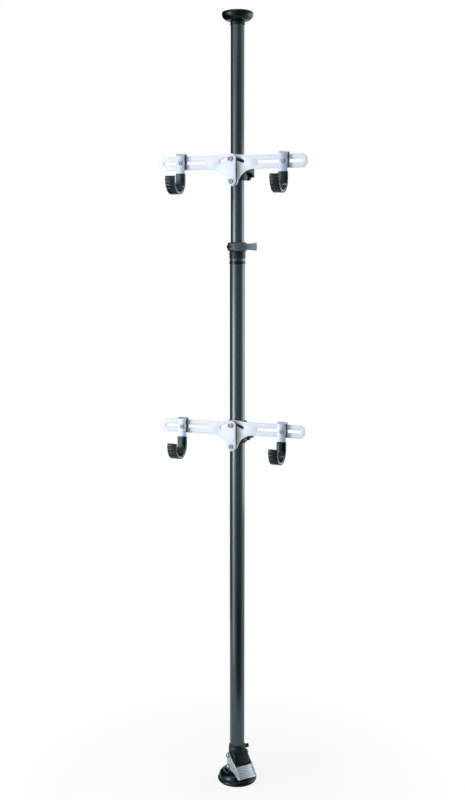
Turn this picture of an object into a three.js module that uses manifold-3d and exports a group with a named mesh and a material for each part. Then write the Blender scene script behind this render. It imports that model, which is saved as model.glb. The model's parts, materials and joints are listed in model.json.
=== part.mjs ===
import * as THREE from 'three';
import { mergeVertices } from 'three/addons/utils/BufferGeometryUtils.js';
import Module from 'manifold-3d';

// Bike storage tower: a telescopic pole braced between floor and ceiling by a foot pedal,
// with two sliding mounts, each with a pair of arms and padded hooks for a bicycle.
// Millimetres. +Z is up, X runs along the arms and -Y is the front.
// The origin is the centre of the foot's underside, on the floor.

const wasm = await Module();
wasm.setup();

// Poles
const towerHeight = 2210;
const lowerTubeDiameter = 43;
const lowerTubeWall = 2.2;
const lowerTubeBottom = 62;
const upperTubeDiameter = 38;
const upperTubeWall = 2;
const upperTubeInsertion = 811;

// Clearances
const fitGap = 0.3;
const turnGap = 0.3;
const boltGap = 0.3;
const overrun = 2;

// Foot pad
const padRadius = 58;
const padRimRadius = 6;
const padRimTurnDegrees = 60;
const padHeight = 31;
const padLipWidth = 1;
const padWellRadius = 37;
const padFloor = 5;

// Foot bracket and spigot
const bracketThickness = 3;
const bracketRimGap = 1.5;
const earThickness = 2.5;
const earHalfWidth = 9;
const earInnerHalfSpan = 21.3;
const spigotDiameter = 35;
const spigotWall = 2.5;
const spigotHeight = 150;

// Pedal linkage: housing pivot over link pivot over foot pivot when the pedal is down
const pedalFacingDegrees = 50;
const housingPivotHeight = 80;
const pedalCrank = 34;
const linkLength = 26;
const linkThickness = 2.8;
const linkEyeRadius = 6;
const linkPinRadius = 3;
const linkPinHeadRadius = 5;
const linkPinHeadHeight = 1.4;
const footPivotPlay = 2.9;
const footPivotSidePlay = 0.4;

// Foot housing, cast, on the lower end of the lower tube
const housingWall = 3.5;
const housingTop = 111;
const housingRimHeight = 5;
const housingRimWall = 2;
const housingShoulder = 58;
const housingBottom = 48;
const housingBossWall = 2.3;
const housingNoseReach = 37;
const housingNoseTop = 96;
const housingNoseEdge = 64;
const housingNoseHalfWidth = 23.5;
const housingBearingRadius = 9;
const housingScrewHeight = 98;
const housingScrewBossReach = 4;
const housingScrewHeadRadius = 6;
const housingScrewHeadHeight = 8;

// Pedal
const cheekThickness = 3;
const cheekPivotRadius = 10;
const cheekShoulderDegrees = 150;
const cheekLinkRadius = 8;
const treadTopReach = 41;
const treadTopDrop = 21;
const treadEndReach = 67;
const treadEndDrop = 48;
const treadThickness = 4;
const treadHeelReach = 60;
const treadHeelDrop = 52;
const cheekBellyReach = 34;
const treadGrooves = 5;
const treadGrooveDepth = 1.2;
const treadBorder = 5;
const treadGrooveShare = 0.5;
const pedalBoltRadius = 4;
const pedalBoltHeadRadius = 7;
const pedalBoltHeadHeight = 5;
const pedalBoltSocketShare = 0.75;

// Collar that locks the two tubes together
const collarWall = 4;
const collarHeight = 25;
const collarChamfer = 2.5;
const collarFacingDegrees = 20;
const collarSlit = 3;
const collarEarDegrees = 215;
const collarEarReach = 31;
const collarEarHalfDepth = 4.5;
const collarEarMargin = 2.5;
const collarBoltReach = 27;
const collarCamRadius = 5.5;
const collarLeverThickness = 5;
const sleeveWall = 1;
const sleeveHeight = 19;
const bandHeight = 8;
const bandGap = 8;

// Draw bolts with an eye, and the cam forks that turn on them
const drawBoltRadius = 3;
const drawBoltHeadRadius = 5;
const drawBoltHeadHeight = 3;
const drawEyeRadius = 5.5;
const drawEyeHeight = 7;
const camRadius = 8.7;
const camHeight = 20;
const camPinRadius = 2.5;
const camPinHeadRadius = 3.6;
const camPinHeadHeight = 1;

// Mounts
const upperMountDrop = 455;
const upperMountClearance = 165;
const lowerMountHeight = 1018;
const clampBore = 48;
const clampWall = 3.8;
const clampBelow = 8;
const clampBarrelLift = 8;
const clampAbove = 66;
const clampSlit = 3;
const clampFaceReach = 30;
const clampFaceHalfWidth = 11.5;
const clampEarReach = 41;
const clampEarHalfWidth = 9;
const clampEarHeight = 50;
const clampLeverMiddle = 32;
const clampLeverThickness = 5;
const linerGap = 0.3;
const linerFlangeHeight = 2;
const linerFlangeWidth = 2;

// Arms
const armThickness = 5;
const armBevel = 0.7;
const armTipRadius = 18.5;
const armReach = 214.5;
const armBarLift = 51.5;
const armFilletRadius = 50;
const armPivotLobe = 12.5;
const armLockLobe = 13.5;
const armShoulderReach = 40;
const lockBoltLift = 61;
const armTiltDegrees = 28;
const armSlotStart = 71;
const armSlotWidth = 9.5;
const armSpacerThickness = 10;
const armSpacerRadius = 11.5;
const armBoltRadius = 4;
const armBoltHeadRadius = 6.6;
const armBoltHeadHeight = 4;
const armBoltSocketRadius = 3.2;
const armBoltSocketDepth = 2.2;

// Hooks
const hookPlaceLeft = 145;
const hookPlaceRight = 149;
const strapWidth = 24.6;
const strapThickness = 3;
const strapStandOff = 10;
const strapRise = 7;
const strapDrop = 10;
const strapBend = 4;
const strapTail = 14;
const cradleDepth = 70;
const cradleDrop = 58;
const lipRise = 5.5;
const rubberWidth = 26.6;
const rubberThickness = 2.4;
const rubberRibHeight = 1.3;
const rubberRibWidth = 5;
const rubberRibPitch = 9;
const rubberRibCount = 5;
const sliderWaistHalfWidth = 7;
const sliderInset = 1;
const hookBoltRadius = 3.5;
const hookBoltHeadRadius = 5.8;
const hookBoltHeadHeight = 3.4;
const hookNutRadius = 6.5;
const hookNutHeight = 5;

// Ceiling cap
const capRadius = 43;
const capRimHeight = 7;
const capRimRounding = 4.5;
const capBowlHeight = 18;
const capNeckHeight = 10;
const capNeckWall = 1.5;
const capStemRadius = 12;
const capStemHeight = 14;
const capPlugDepth = 28;

// The clamp lever's path round the clamp, as shares of the clamp's radius from the pole's axis
const clampLeverPathShares = [
  [0.86, 1.55],
  [1.26, 1.16],
  [1.41, 0.68],
  [1.47, 0.15],
  [1.37, -0.4],
  [1.12, -0.86],
];

// The clamp lever's edge: reach behind the pole's axis and half height, as shares of that radius
const clampLeverEdgeShares = [
  [1.74, 0.5],
  [1.62, 0.82],
  [1.38, 0.97],
  [1.12, 0.88],
  [0.6, 0.46],
  [0.1, 0.28],
  [-0.62, 0.22],
  [-0.7, 0.12],
];

// The collar lever's path round the front of the collar, as shares of the collar's radius
const collarLeverPathShares = [
  [-0.57, -1.09],
  [-0.15, -1.21],
  [0.38, -1.24],
  [1.05, -1.13],
  [2.1, -0.94],
];

// The collar lever's edge: reach across the collar and half height, as shares of its radius
const collarLeverEdgeShares = [
  [-0.95, 0.36],
  [-0.47, 0.385],
  [-0.25, 0.49],
  [0.36, 0.535],
  [0.74, 0.485],
  [1.08, 0.34],
  [1.3, 0.34],
  [2.04, 0.42],
  [2.1, 0.36],
];

// Facets
const tubeSides = 24;
const padSides = 32;
const camSides = 20;
const boltSides = 12;
const pinSides = 8;
const hexSides = 6;
const quarterSteps = 3;
const lockSlotSteps = 5;
const weldDistance = 1e-4;

// Sizes that follow from the ones above
const lowerTubeRadius = lowerTubeDiameter / 2;
const lowerTubeBore = lowerTubeRadius - lowerTubeWall;
const upperTubeRadius = upperTubeDiameter / 2;
const upperTubeBore = upperTubeRadius - upperTubeWall;
const upperMountHeight = towerHeight - upperMountDrop;
const lowerTubeTop = upperMountHeight - upperMountClearance;
const upperTubeTop = towerHeight - capRimHeight - capBowlHeight - capNeckHeight;
const upperTubeBottom = lowerTubeTop - upperTubeInsertion;
const bracketBase = padFloor + fitGap;
const bracketTop = bracketBase + bracketThickness;
const linkPivotHeight = housingPivotHeight - pedalCrank;
const footPivotHeight = linkPivotHeight - linkLength;
const earOuterHalfSpan = earInnerHalfSpan + earThickness;
const linkInnerHalfSpan = earOuterHalfSpan + turnGap;
const linkOuterHalfSpan = linkInnerHalfSpan + linkThickness;
const cheekInnerHalfSpan = linkOuterHalfSpan + turnGap;
const cheekOuterHalfSpan = cheekInnerHalfSpan + cheekThickness;
const housingRadius = lowerTubeRadius + fitGap + housingWall;
const housingBoreRadius = spigotDiameter / 2 + fitGap;
const collarBottom = lowerTubeTop + fitGap - collarHeight;
const collarInnerRadius = lowerTubeRadius + fitGap;
const collarRadius = collarInnerRadius + collarWall;
const armHalfHeight = armTipRadius;
const armTipCentre = armReach - armTipRadius;
const clampRadius = clampBore / 2 + clampWall;
const rearArmFace = clampFaceReach + fitGap;
const rearArmFront = rearArmFace + armThickness;
const spacerBack = rearArmFront + turnGap;
const frontArmFace = spacerBack + armSpacerThickness + turnGap;
const frontArmFront = frontArmFace + armThickness;
const eyeSpace = drawEyeHeight / 2 + turnGap;
const clampDrawBoltReach = clampEarReach - drawBoltHeadRadius;
const clampCamReach = clampEarHalfWidth + fitGap + camRadius;
const strapBackY = armThickness / 2 + fitGap + strapThickness / 2;
const strapFrontY = -(armThickness / 2 + strapStandOff + strapThickness / 2);
const strapTopZ = armHalfHeight + strapRise - strapThickness / 2;
const cradleTopZ = -armHalfHeight - strapDrop;
const cradleRadius = cradleDepth / 2;
const cradleCentreZ = cradleTopZ - cradleDrop + rubberThickness + strapThickness / 2 + cradleRadius;
const lipTopZ = cradleCentreZ + lipRise;
const pedalTurn = THREE.MathUtils.degToRad(pedalFacingDegrees);
const armTilt = THREE.MathUtils.degToRad(armTiltDegrees);
const quarter = Math.PI / 2;
const collarEarTurn = THREE.MathUtils.degToRad(collarEarDegrees);
const collarCamReach = collarEarHalfDepth + fitGap + collarCamRadius;
const collarCam = [
  collarBoltReach * Math.cos(collarEarTurn) - collarCamReach * Math.sin(collarEarTurn),
  collarBoltReach * Math.sin(collarEarTurn) + collarCamReach * Math.cos(collarEarTurn),
];

// Finishes
const looks = {
  anodised: { color: 0x4b5c61, roughness: 0.35, metalness: 0.9 },
  satin: { color: 0xe4e9ee, roughness: 0.35, metalness: 0.7 },
  steel: { color: 0xb9c3cf, roughness: 0.35, metalness: 0.9 },
  bolt: { color: 0x8b939a, roughness: 0.4, metalness: 0.9 },
  blackPlastic: { color: 0x23292c, roughness: 0.5, metalness: 0 },
  greyPlastic: { color: 0x6f7d88, roughness: 0.45, metalness: 0.2 },
  rubber: { color: 0x101a19, roughness: 0.6, metalness: 0 },
};

// Solids
function signedVolume(points, faces) {
  let sum = 0;
  for (let i = 0; i < faces.length; i += 3) {
    const [a, b, c] = [faces[i], faces[i + 1], faces[i + 2]].map((n) =>
      new THREE.Vector3().fromArray(points, 3 * n)
    );
    sum += a.dot(b.cross(c));
  }
  return sum;
}

function solid(geometry) {
  const bare = geometry.clone();
  bare.deleteAttribute('normal');
  bare.deleteAttribute('uv');
  const merged = mergeVertices(bare, weldDistance);
  const points = merged.attributes.position.array;
  const index = merged.index.array;
  const faces = [];
  for (let i = 0; i < index.length; i += 3) {
    const [a, b, c] = [index[i], index[i + 1], index[i + 2]];
    if (a !== b && b !== c && c !== a) faces.push(a, b, c);
  }
  if (signedVolume(points, faces) < 0) faces.reverse();
  const mesh = new wasm.Mesh({
    numProp: 3,
    vertProperties: new Float32Array(points),
    triVerts: new Uint32Array(faces),
  });
  return new wasm.Manifold(mesh);
}

function join(first, ...others) {
  return others.reduce((sum, other) => sum.add(other), first);
}

function cut(first, ...others) {
  return others.reduce((sum, other) => sum.subtract(other), first);
}

function meshOf(shape) {
  const { vertProperties, triVerts } = shape.getMesh();
  const geometry = new THREE.BufferGeometry();
  geometry.setAttribute('position', new THREE.BufferAttribute(vertProperties, 3));
  geometry.setIndex(new THREE.BufferAttribute(triVerts, 1));
  geometry.computeVertexNormals();
  return geometry;
}

function add(parent, name, shape, look) {
  const mesh = new THREE.Mesh(meshOf(shape), new THREE.MeshStandardMaterial(look));
  mesh.name = name;
  parent.add(mesh);
  return mesh;
}

function arcSteps(turn) {
  return Math.max(1, Math.round((quarterSteps * Math.abs(turn)) / quarter));
}

// Points on an arc about (x, y), from one angle to another
function arc(x, y, radius, from, to, steps = arcSteps(to - from)) {
  const points = [];
  for (let i = 0; i <= steps; i += 1) {
    const angle = from + ((to - from) * i) / steps;
    points.push([x + radius * Math.cos(angle), y + radius * Math.sin(angle)]);
  }
  return points;
}

function outline(points) {
  return new THREE.Shape(points.map(([x, y]) => new THREE.Vector2(x, y)));
}

// A revolved body about Z from a closed profile of [radius, height]
function turned(profile, sides) {
  const points = [...profile, profile[0]].map(([r, z]) => new THREE.Vector2(r, z));
  const geometry = new THREE.LatheGeometry(points, sides);
  geometry.rotateX(quarter);
  return solid(geometry);
}

function ring(outer, inner, bottom, top, sides = tubeSides) {
  return turned([[inner, bottom], [outer, bottom], [outer, top], [inner, top]], sides);
}

function rod(radius, bottom, top, sides = boltSides) {
  return turned([[0, bottom], [radius, bottom], [radius, top], [0, top]], sides);
}

function block(x0, x1, y0, y1, z0, z1) {
  const geometry = new THREE.BoxGeometry(x1 - x0, y1 - y0, z1 - z0);
  geometry.translate((x0 + x1) / 2, (y0 + y1) / 2, (z0 + z1) / 2);
  return solid(geometry);
}

function extruded(shape, depth, bevel = 0) {
  return new THREE.ExtrudeGeometry(shape, {
    depth: depth - 2 * bevel,
    bevelEnabled: bevel > 0,
    bevelThickness: bevel,
    bevelSize: bevel,
    bevelOffset: -bevel,
    bevelSegments: 1,
    curveSegments: quarterSteps,
  }).translate(0, 0, bevel);
}

// An outline in X and Z, filled from y0 to y1
function plateXZ(shape, y0, y1, bevel = 0) {
  const geometry = extruded(shape, y1 - y0, bevel);
  geometry.rotateX(quarter);
  geometry.translate(0, y1, 0);
  return solid(geometry);
}

// An outline in Y and Z, filled from x0 to x1
function plateYZ(shape, x0, x1, bevel = 0) {
  const geometry = extruded(shape, x1 - x0, bevel);
  geometry.rotateX(quarter);
  geometry.rotateZ(quarter);
  geometry.translate(x0, 0, 0);
  return solid(geometry);
}

// An outline in X and Y, filled from z0 to z1
function plateXY(shape, z0, z1, bevel = 0) {
  const geometry = extruded(shape, z1 - z0, bevel);
  geometry.translate(0, 0, z0);
  return solid(geometry);
}

// A rod along X or Y, through a point given in the other two directions
function rodX(radius, x0, x1, y, z, sides = boltSides) {
  return rod(radius, x0, x1, sides).rotate([0, 90, 0]).translate([0, y, z]);
}

function rodY(radius, y0, y1, x, z, sides = boltSides) {
  return rod(radius, -y1, -y0, sides).rotate([90, 0, 0]).translate([x, 0, z]);
}

// A straight slot's outline between two centres at the same height
function slotOutline(x0, x1, y, radius) {
  return [
    ...arc(x1, y, radius, -quarter, quarter),
    ...arc(x0, y, radius, quarter, 3 * quarter),
  ];
}

// Foot
function footPad() {
  const soleRadius = padRadius - padRimRadius;
  const rimTurn = THREE.MathUtils.degToRad(padRimTurnDegrees);
  const rim = arc(soleRadius, padRimRadius, padRimRadius, -quarter, rimTurn);
  const [domeRadius, domeBase] = rim[rim.length - 1];
  const lipRadius = padWellRadius + padLipWidth;
  const dome = arc(0, 0, 1, 0, quarter).map(([across, up]) => [
    lipRadius + across * (domeRadius - lipRadius),
    domeBase + up * (padHeight - domeBase),
  ]);
  const well = [[padWellRadius, padHeight], [padWellRadius, padFloor], [0, padFloor]];
  return turned([[0, 0], ...rim, ...dome.slice(1), ...well], padSides);
}

function footBracket() {
  const disc = rod(padWellRadius - bracketRimGap, bracketBase, bracketTop, padSides);
  const earTop = padHeight - earHalfWidth;
  const earOutline = outline([
    [-earHalfWidth, bracketBase],
    [earHalfWidth, bracketBase],
    ...arc(0, earTop, earHalfWidth, 0, 2 * quarter),
  ]);
  const slotRadius = linkPinRadius + turnGap + footPivotSidePlay;
  const slot = outline([
    ...arc(0, footPivotHeight, slotRadius, 0, 2 * quarter),
    ...arc(0, footPivotHeight - footPivotPlay, slotRadius, 2 * quarter, 4 * quarter),
  ]);
  const ears = [-earOuterHalfSpan, earInnerHalfSpan].map((start) =>
    plateYZ(earOutline, start, start + earThickness)
  );
  const slots = plateYZ(slot, -earOuterHalfSpan - overrun, earOuterHalfSpan + overrun);
  return cut(join(disc, ...ears), slots);
}

function footSpigot() {
  const bottom = bracketTop + fitGap;
  const radius = spigotDiameter / 2;
  return ring(radius, radius - spigotWall, bottom, bottom + spigotHeight);
}

// The link's stud runs inwards through the bracket's ear and ends in a head
function footLink(side) {
  const body = outline([
    ...arc(0, linkPivotHeight, linkEyeRadius, 0, 2 * quarter),
    ...arc(0, footPivotHeight, linkEyeRadius, 2 * quarter, 4 * quarter),
  ]);
  const studEnd = earInnerHalfSpan - turnGap;
  const plate = plateYZ(body, linkInnerHalfSpan, linkOuterHalfSpan);
  const eye = rodX(
    linkPinRadius + turnGap,
    linkInnerHalfSpan - overrun,
    linkOuterHalfSpan + overrun,
    0,
    linkPivotHeight
  );
  const stud = rodX(linkPinRadius, studEnd - linkPinHeadHeight, linkOuterHalfSpan, 0, footPivotHeight);
  const head = rodX(linkPinHeadRadius, studEnd - linkPinHeadHeight, studEnd, 0, footPivotHeight);
  return join(cut(plate, eye), stud, head).scale([side, 1, 1]);
}

// A bolt along X with its head outside the pedal's cheek
function pedalBolt(side, radius, innerEnd, height) {
  const headStart = cheekOuterHalfSpan + fitGap;
  const headEnd = headStart + pedalBoltHeadHeight;
  const headRadius = Math.min(pedalBoltHeadRadius, cheekLinkRadius - fitGap);
  const socket = rodX(
    radius * pedalBoltSocketShare,
    headEnd - pedalBoltHeadHeight / 2,
    headEnd + overrun,
    0,
    height,
    hexSides
  );
  const bolt = join(
    rodX(radius, innerEnd, headEnd, 0, height),
    rodX(headRadius, headStart, headEnd, 0, height)
  );
  return cut(bolt, socket).scale([side, 1, 1]);
}

function footHousing() {
  const bossRadius = housingBoreRadius + housingBossWall;
  const rimRadius = lowerTubeRadius + fitGap + housingRimWall;
  const body = turned(
    [
      [0, housingBottom],
      [bossRadius, housingBottom],
      [bossRadius, housingShoulder],
      [housingRadius, housingShoulder],
      [housingRadius, housingTop - 2 * housingRimHeight],
      [rimRadius, housingTop - housingRimHeight],
      [rimRadius, housingTop],
      [0, housingTop],
    ],
    tubeSides
  );
  const nose = plateYZ(
    outline([
      [0, housingShoulder],
      [-housingNoseReach, housingShoulder],
      [-housingNoseReach, housingNoseEdge],
      [-lowerTubeRadius, housingNoseTop],
      [0, housingNoseTop],
    ]),
    -housingNoseHalfWidth,
    housingNoseHalfWidth
  );
  const bearingFace = cheekInnerHalfSpan - turnGap;
  const bearings = rodX(housingBearingRadius, -bearingFace, bearingFace, 0, housingPivotHeight);
  const screwBoss = rodX(
    housingScrewHeadRadius,
    lowerTubeRadius,
    housingRadius + housingScrewBossReach,
    0,
    housingScrewHeight
  );
  const tubeSocket = rod(
    lowerTubeRadius + fitGap,
    lowerTubeBottom - fitGap,
    housingTop + overrun,
    tubeSides
  );
  const bore = rod(housingBoreRadius, housingBottom - overrun, housingTop, tubeSides);
  const boltHoles = rodX(
    pedalBoltRadius + boltGap,
    -housingRadius - overrun,
    housingRadius + overrun,
    0,
    housingPivotHeight
  );
  const screwHole = rodX(
    drawBoltRadius + boltGap,
    0,
    housingRadius + housingScrewBossReach + overrun,
    0,
    housingScrewHeight
  );
  return cut(join(body, nose, bearings, screwBoss), tubeSocket, bore, boltHoles, screwHole);
}

// A black thumb screw that pins the housing to the tube
function housingScrew() {
  const seat = housingRadius + housingScrewBossReach + fitGap;
  const headEnd = seat + housingScrewHeadHeight;
  return join(
    rodX(drawBoltRadius, lowerTubeRadius + fitGap, headEnd, 0, housingScrewHeight),
    rodX(housingScrewHeadRadius, seat, headEnd, 0, housingScrewHeight)
  );
}

// Two cheeks and a grooved tread, in heights from the floor and reach towards -Y
function footPedal() {
  const pivot = housingPivotHeight;
  const shoulder = THREE.MathUtils.degToRad(cheekShoulderDegrees);
  const cheek = outline([
    ...arc(0, pivot, cheekPivotRadius, 0, shoulder),
    [-treadTopReach, pivot - treadTopDrop],
    [-treadEndReach, pivot - treadEndDrop],
    [-treadHeelReach, pivot - treadHeelDrop],
    [-cheekBellyReach, linkPivotHeight - cheekLinkRadius],
    ...arc(0, linkPivotHeight, cheekLinkRadius, 3 * quarter, 4 * quarter),
  ]);
  const cheeks = [-cheekOuterHalfSpan, cheekInnerHalfSpan].map((start) =>
    plateYZ(cheek, start, start + cheekThickness)
  );
  const run = treadEndReach - treadTopReach;
  const fall = treadEndDrop - treadTopDrop;
  const length = Math.hypot(run, fall);
  const [alongY, alongZ] = [-run / length, -fall / length];
  const at = (along, depth) => [
    -treadTopReach + along * alongY - depth * alongZ,
    pivot - treadTopDrop + along * alongZ + depth * alongY,
  ];
  const tread = plateYZ(
    outline([at(0, 0), at(length, 0), at(length, treadThickness), at(0, treadThickness)]),
    -cheekOuterHalfSpan,
    cheekOuterHalfSpan
  );
  const pitch = (length - treadBorder) / treadGrooves;
  const grooveWidth = pitch * treadGrooveShare;
  const grooves = [];
  for (let i = 0; i < treadGrooves; i += 1) {
    const start = treadBorder / 2 + pitch * i + (pitch - grooveWidth) / 2;
    const end = start + grooveWidth;
    const groove = outline([
      at(start, treadGrooveDepth),
      at(end, treadGrooveDepth),
      at(end, -overrun),
      at(start, -overrun),
    ]);
    grooves.push(
      plateYZ(groove, treadBorder - cheekOuterHalfSpan, cheekOuterHalfSpan - treadBorder)
    );
  }
  const reach = cheekOuterHalfSpan + overrun;
  const holes = [
    rodX(pedalBoltRadius + turnGap, -reach, reach, 0, pivot),
    rodX(linkPinRadius + boltGap, -reach, reach, 0, linkPivotHeight),
  ];
  return cut(join(...cheeks, tread), ...grooves, ...holes);
}

// A bolt along +Y from its head to a vertical eye at the origin
function drawBolt(length) {
  const eye = rod(drawEyeRadius, -drawEyeHeight / 2, drawEyeHeight / 2);
  const shank = rodY(drawBoltRadius, 0, length + drawBoltHeadHeight, 0, 0);
  const head = rodY(drawBoltHeadRadius, length, length + drawBoltHeadHeight, 0, 0, hexSides);
  const pinHole = rod(camPinRadius + fitGap, -drawEyeHeight, drawEyeHeight);
  return cut(join(eye, shank, head), pinHole);
}

// Two cam discs about the origin, with room between them for the eye
function camFork(radius, height) {
  const discs = rod(radius, -height / 2, height / 2, camSides);
  return cut(discs, rod(radius + overrun, -eyeSpace, eyeSpace), camPinHole(height));
}

// An upright strip of one thickness that follows a curve through the points
function bentStrip(path, thickness, half) {
  const curve = new THREE.SplineCurve(path.map(([x, y]) => new THREE.Vector2(x, y)));
  const steps = 3 * quarterSteps;
  const outer = [];
  const inner = [];
  for (let i = 0; i <= steps; i += 1) {
    const point = curve.getPoint(i / steps);
    const along = curve.getTangent(i / steps);
    const side = new THREE.Vector2(-along.y, along.x).multiplyScalar(thickness / 2);
    outer.push([point.x + side.x, point.y + side.y]);
    inner.push([point.x - side.x, point.y - side.y]);
  }
  return plateXY(outline([...outer, ...inner.reverse()]), -half, half);
}

function camPinHole(height) {
  return rod(camPinRadius + fitGap, -height, height);
}

function camPin(height) {
  const end = height / 2 + fitGap;
  return join(
    rod(camPinRadius, -end - camPinHeadHeight, end + camPinHeadHeight, pinSides),
    rod(camPinHeadRadius, end, end + camPinHeadHeight, pinSides),
    rod(camPinHeadRadius, -end - camPinHeadHeight, -end, pinSides)
  );
}

function buildFoot() {
  const foot = new THREE.Group();
  foot.rotation.z = pedalTurn;
  add(foot, 'foot_pad', footPad(), looks.rubber);
  add(foot, 'foot_bracket', footBracket(), looks.steel);
  add(foot, 'foot_spigot', footSpigot(), looks.steel);
  add(foot, 'foot_housing', footHousing(), looks.blackPlastic);
  add(foot, 'foot_housing_screw', housingScrew(), looks.blackPlastic);
  add(foot, 'foot_pedal', footPedal(), looks.satin);
  const housingSeat = lowerTubeRadius + 2 * fitGap;
  for (const [word, side] of [['left', -1], ['right', 1]]) {
    add(foot, `foot_link_${word}`, footLink(side), looks.steel);
    add(
      foot,
      `pedal_pivot_bolt_${word}`,
      pedalBolt(side, pedalBoltRadius, housingSeat, housingPivotHeight),
      looks.bolt
    );
    add(
      foot,
      `pedal_link_bolt_${word}`,
      pedalBolt(side, linkPinRadius, linkInnerHalfSpan, linkPivotHeight),
      looks.bolt
    );
  }
  return foot;
}

// Lower tube, its bands and the locking collar
function collarRing() {
  const profile = [
    [collarInnerRadius, 0],
    [collarRadius - collarChamfer, 0],
    [collarRadius, collarChamfer],
    [collarRadius, collarHeight - collarChamfer],
    [collarRadius - collarChamfer, collarHeight],
    [collarInnerRadius, collarHeight],
  ];
  const ears = block(
    collarInnerRadius + collarWall / 2,
    collarEarReach,
    -collarEarHalfDepth,
    collarEarHalfDepth,
    collarEarMargin,
    collarHeight - collarEarMargin
  );
  const slit = block(
    0,
    collarEarReach + overrun,
    -collarSlit / 2,
    collarSlit / 2,
    -overrun,
    collarHeight + overrun
  );
  const hole = rodY(
    drawBoltRadius + boltGap,
    -collarEarHalfDepth - overrun,
    collarEarHalfDepth + overrun,
    collarBoltReach,
    collarHeight / 2
  );
  const headRoom = rodY(
    drawBoltHeadRadius + boltGap,
    -collarEarHalfDepth - drawBoltHeadHeight - overrun,
    -collarEarHalfDepth,
    collarBoltReach,
    collarHeight / 2
  );
  const camRoom = rod(collarCamRadius + turnGap, -overrun, collarHeight + overrun, camSides);
  const rooms = [headRoom, camRoom.translate([collarBoltReach, collarCamReach, 0])];
  const body = join(turned(profile, tubeSides), ears);
  return cut(body, slit, hole, ...rooms).rotate([0, 0, collarEarDegrees]);
}

// The closed lever wraps forward from its cam round the front of the collar
function collarLever() {
  const [camX, camY] = collarCam;
  const path = collarLeverPathShares.map(([x, y]) => [x * collarRadius - camX, y * collarRadius - camY]);
  const edge = collarLeverEdgeShares.map(([x, z]) => [x * collarRadius - camX, z * collarRadius]);
  const under = edge.map(([x, z]) => [x, -z]).reverse();
  const reach = 2 * collarRadius;
  const strip = bentStrip(path, collarLeverThickness, collarRadius);
  const paddle = strip.intersect(plateXZ(outline([...edge, ...under]), -reach, reach));
  const eyeRoom = rod(drawEyeRadius + turnGap, -eyeSpace, eyeSpace);
  return cut(join(camFork(collarCamRadius, camHeight), paddle), eyeRoom, camPinHole(camHeight));
}

function buildLowerPole() {
  const pole = new THREE.Group();
  add(
    pole,
    'lower_tube',
    ring(lowerTubeRadius, lowerTubeBore, lowerTubeBottom, lowerTubeTop),
    looks.anodised
  );
  const sleeveInner = lowerTubeRadius + fitGap;
  const sleeveOuter = sleeveInner + sleeveWall;
  const sleeveTop = collarBottom - fitGap;
  const bandTop = sleeveTop - sleeveHeight - bandGap;
  add(
    pole,
    'collar_sleeve',
    ring(sleeveOuter, sleeveInner, sleeveTop - sleeveHeight, sleeveTop),
    looks.blackPlastic
  );
  add(pole, 'tube_band', ring(sleeveOuter, sleeveInner, bandTop - bandHeight, bandTop), looks.blackPlastic);
  const collar = new THREE.Group();
  collar.rotation.z = THREE.MathUtils.degToRad(collarFacingDegrees);
  collar.position.z = collarBottom;
  add(collar, 'collar', collarRing(), looks.blackPlastic);
  const parts = new THREE.Group();
  parts.position.set(...collarCam, collarHeight / 2);
  const bolt = add(
    parts,
    'collar_draw_bolt',
    drawBolt(collarCamReach + collarEarHalfDepth + fitGap),
    looks.bolt
  );
  bolt.rotation.z = collarEarTurn - 2 * quarter;
  add(parts, 'collar_lever', collarLever(), looks.greyPlastic);
  add(parts, 'collar_lever_pin', camPin(camHeight), looks.bolt);
  collar.add(parts);
  pole.add(collar);
  return pole;
}

// Upper tube and ceiling cap
function capPad() {
  const base = towerHeight - capRimHeight - capBowlHeight;
  const rimBottom = base + capBowlHeight;
  const neck = upperTubeRadius + capNeckWall;
  const bowl = arc(0, 0, 1, -quarter, 0, quarterSteps + 1).map(([across, up]) => [
    neck + across * (capRadius - neck),
    rimBottom + up * capBowlHeight,
  ]);
  const profile = [
    [0, base + capStemHeight + fitGap],
    [capStemRadius + fitGap, base + capStemHeight + fitGap],
    [capStemRadius + fitGap, base],
    ...bowl,
    ...arc(capRadius - capRimRounding, towerHeight - capRimRounding, capRimRounding, 0, quarter),
    [0, towerHeight],
  ];
  return turned(profile, padSides);
}

function capPlug() {
  const neckTop = towerHeight - capRimHeight - capBowlHeight - fitGap;
  const plugRadius = upperTubeBore - fitGap;
  return turned(
    [
      [0, upperTubeTop - capPlugDepth],
      [plugRadius, upperTubeTop - capPlugDepth],
      [plugRadius, upperTubeTop + fitGap],
      [upperTubeRadius + capNeckWall, upperTubeTop + fitGap],
      [upperTubeRadius + capNeckWall, neckTop],
      [capStemRadius, neckTop],
      [capStemRadius, neckTop + capStemHeight],
      [0, neckTop + capStemHeight],
    ],
    tubeSides
  );
}

function endBush() {
  const flange = lowerTubeBore - fitGap;
  const plug = upperTubeBore - fitGap;
  const top = upperTubeBottom - fitGap;
  return turned(
    [
      [plug - upperTubeWall, top - linerFlangeHeight],
      [flange, top - linerFlangeHeight],
      [flange, top],
      [plug, top],
      [plug, top + capPlugDepth],
      [plug - upperTubeWall, top + capPlugDepth],
    ],
    tubeSides
  );
}

function buildUpperPole() {
  const pole = new THREE.Group();
  add(
    pole,
    'upper_tube',
    ring(upperTubeRadius, upperTubeBore, upperTubeBottom, upperTubeTop),
    looks.anodised
  );
  add(pole, 'upper_tube_bush', endBush(), looks.blackPlastic);
  add(pole, 'cap_plug', capPlug(), looks.blackPlastic);
  add(pole, 'cap_pad', capPad(), looks.rubber);
  return pole;
}

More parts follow.
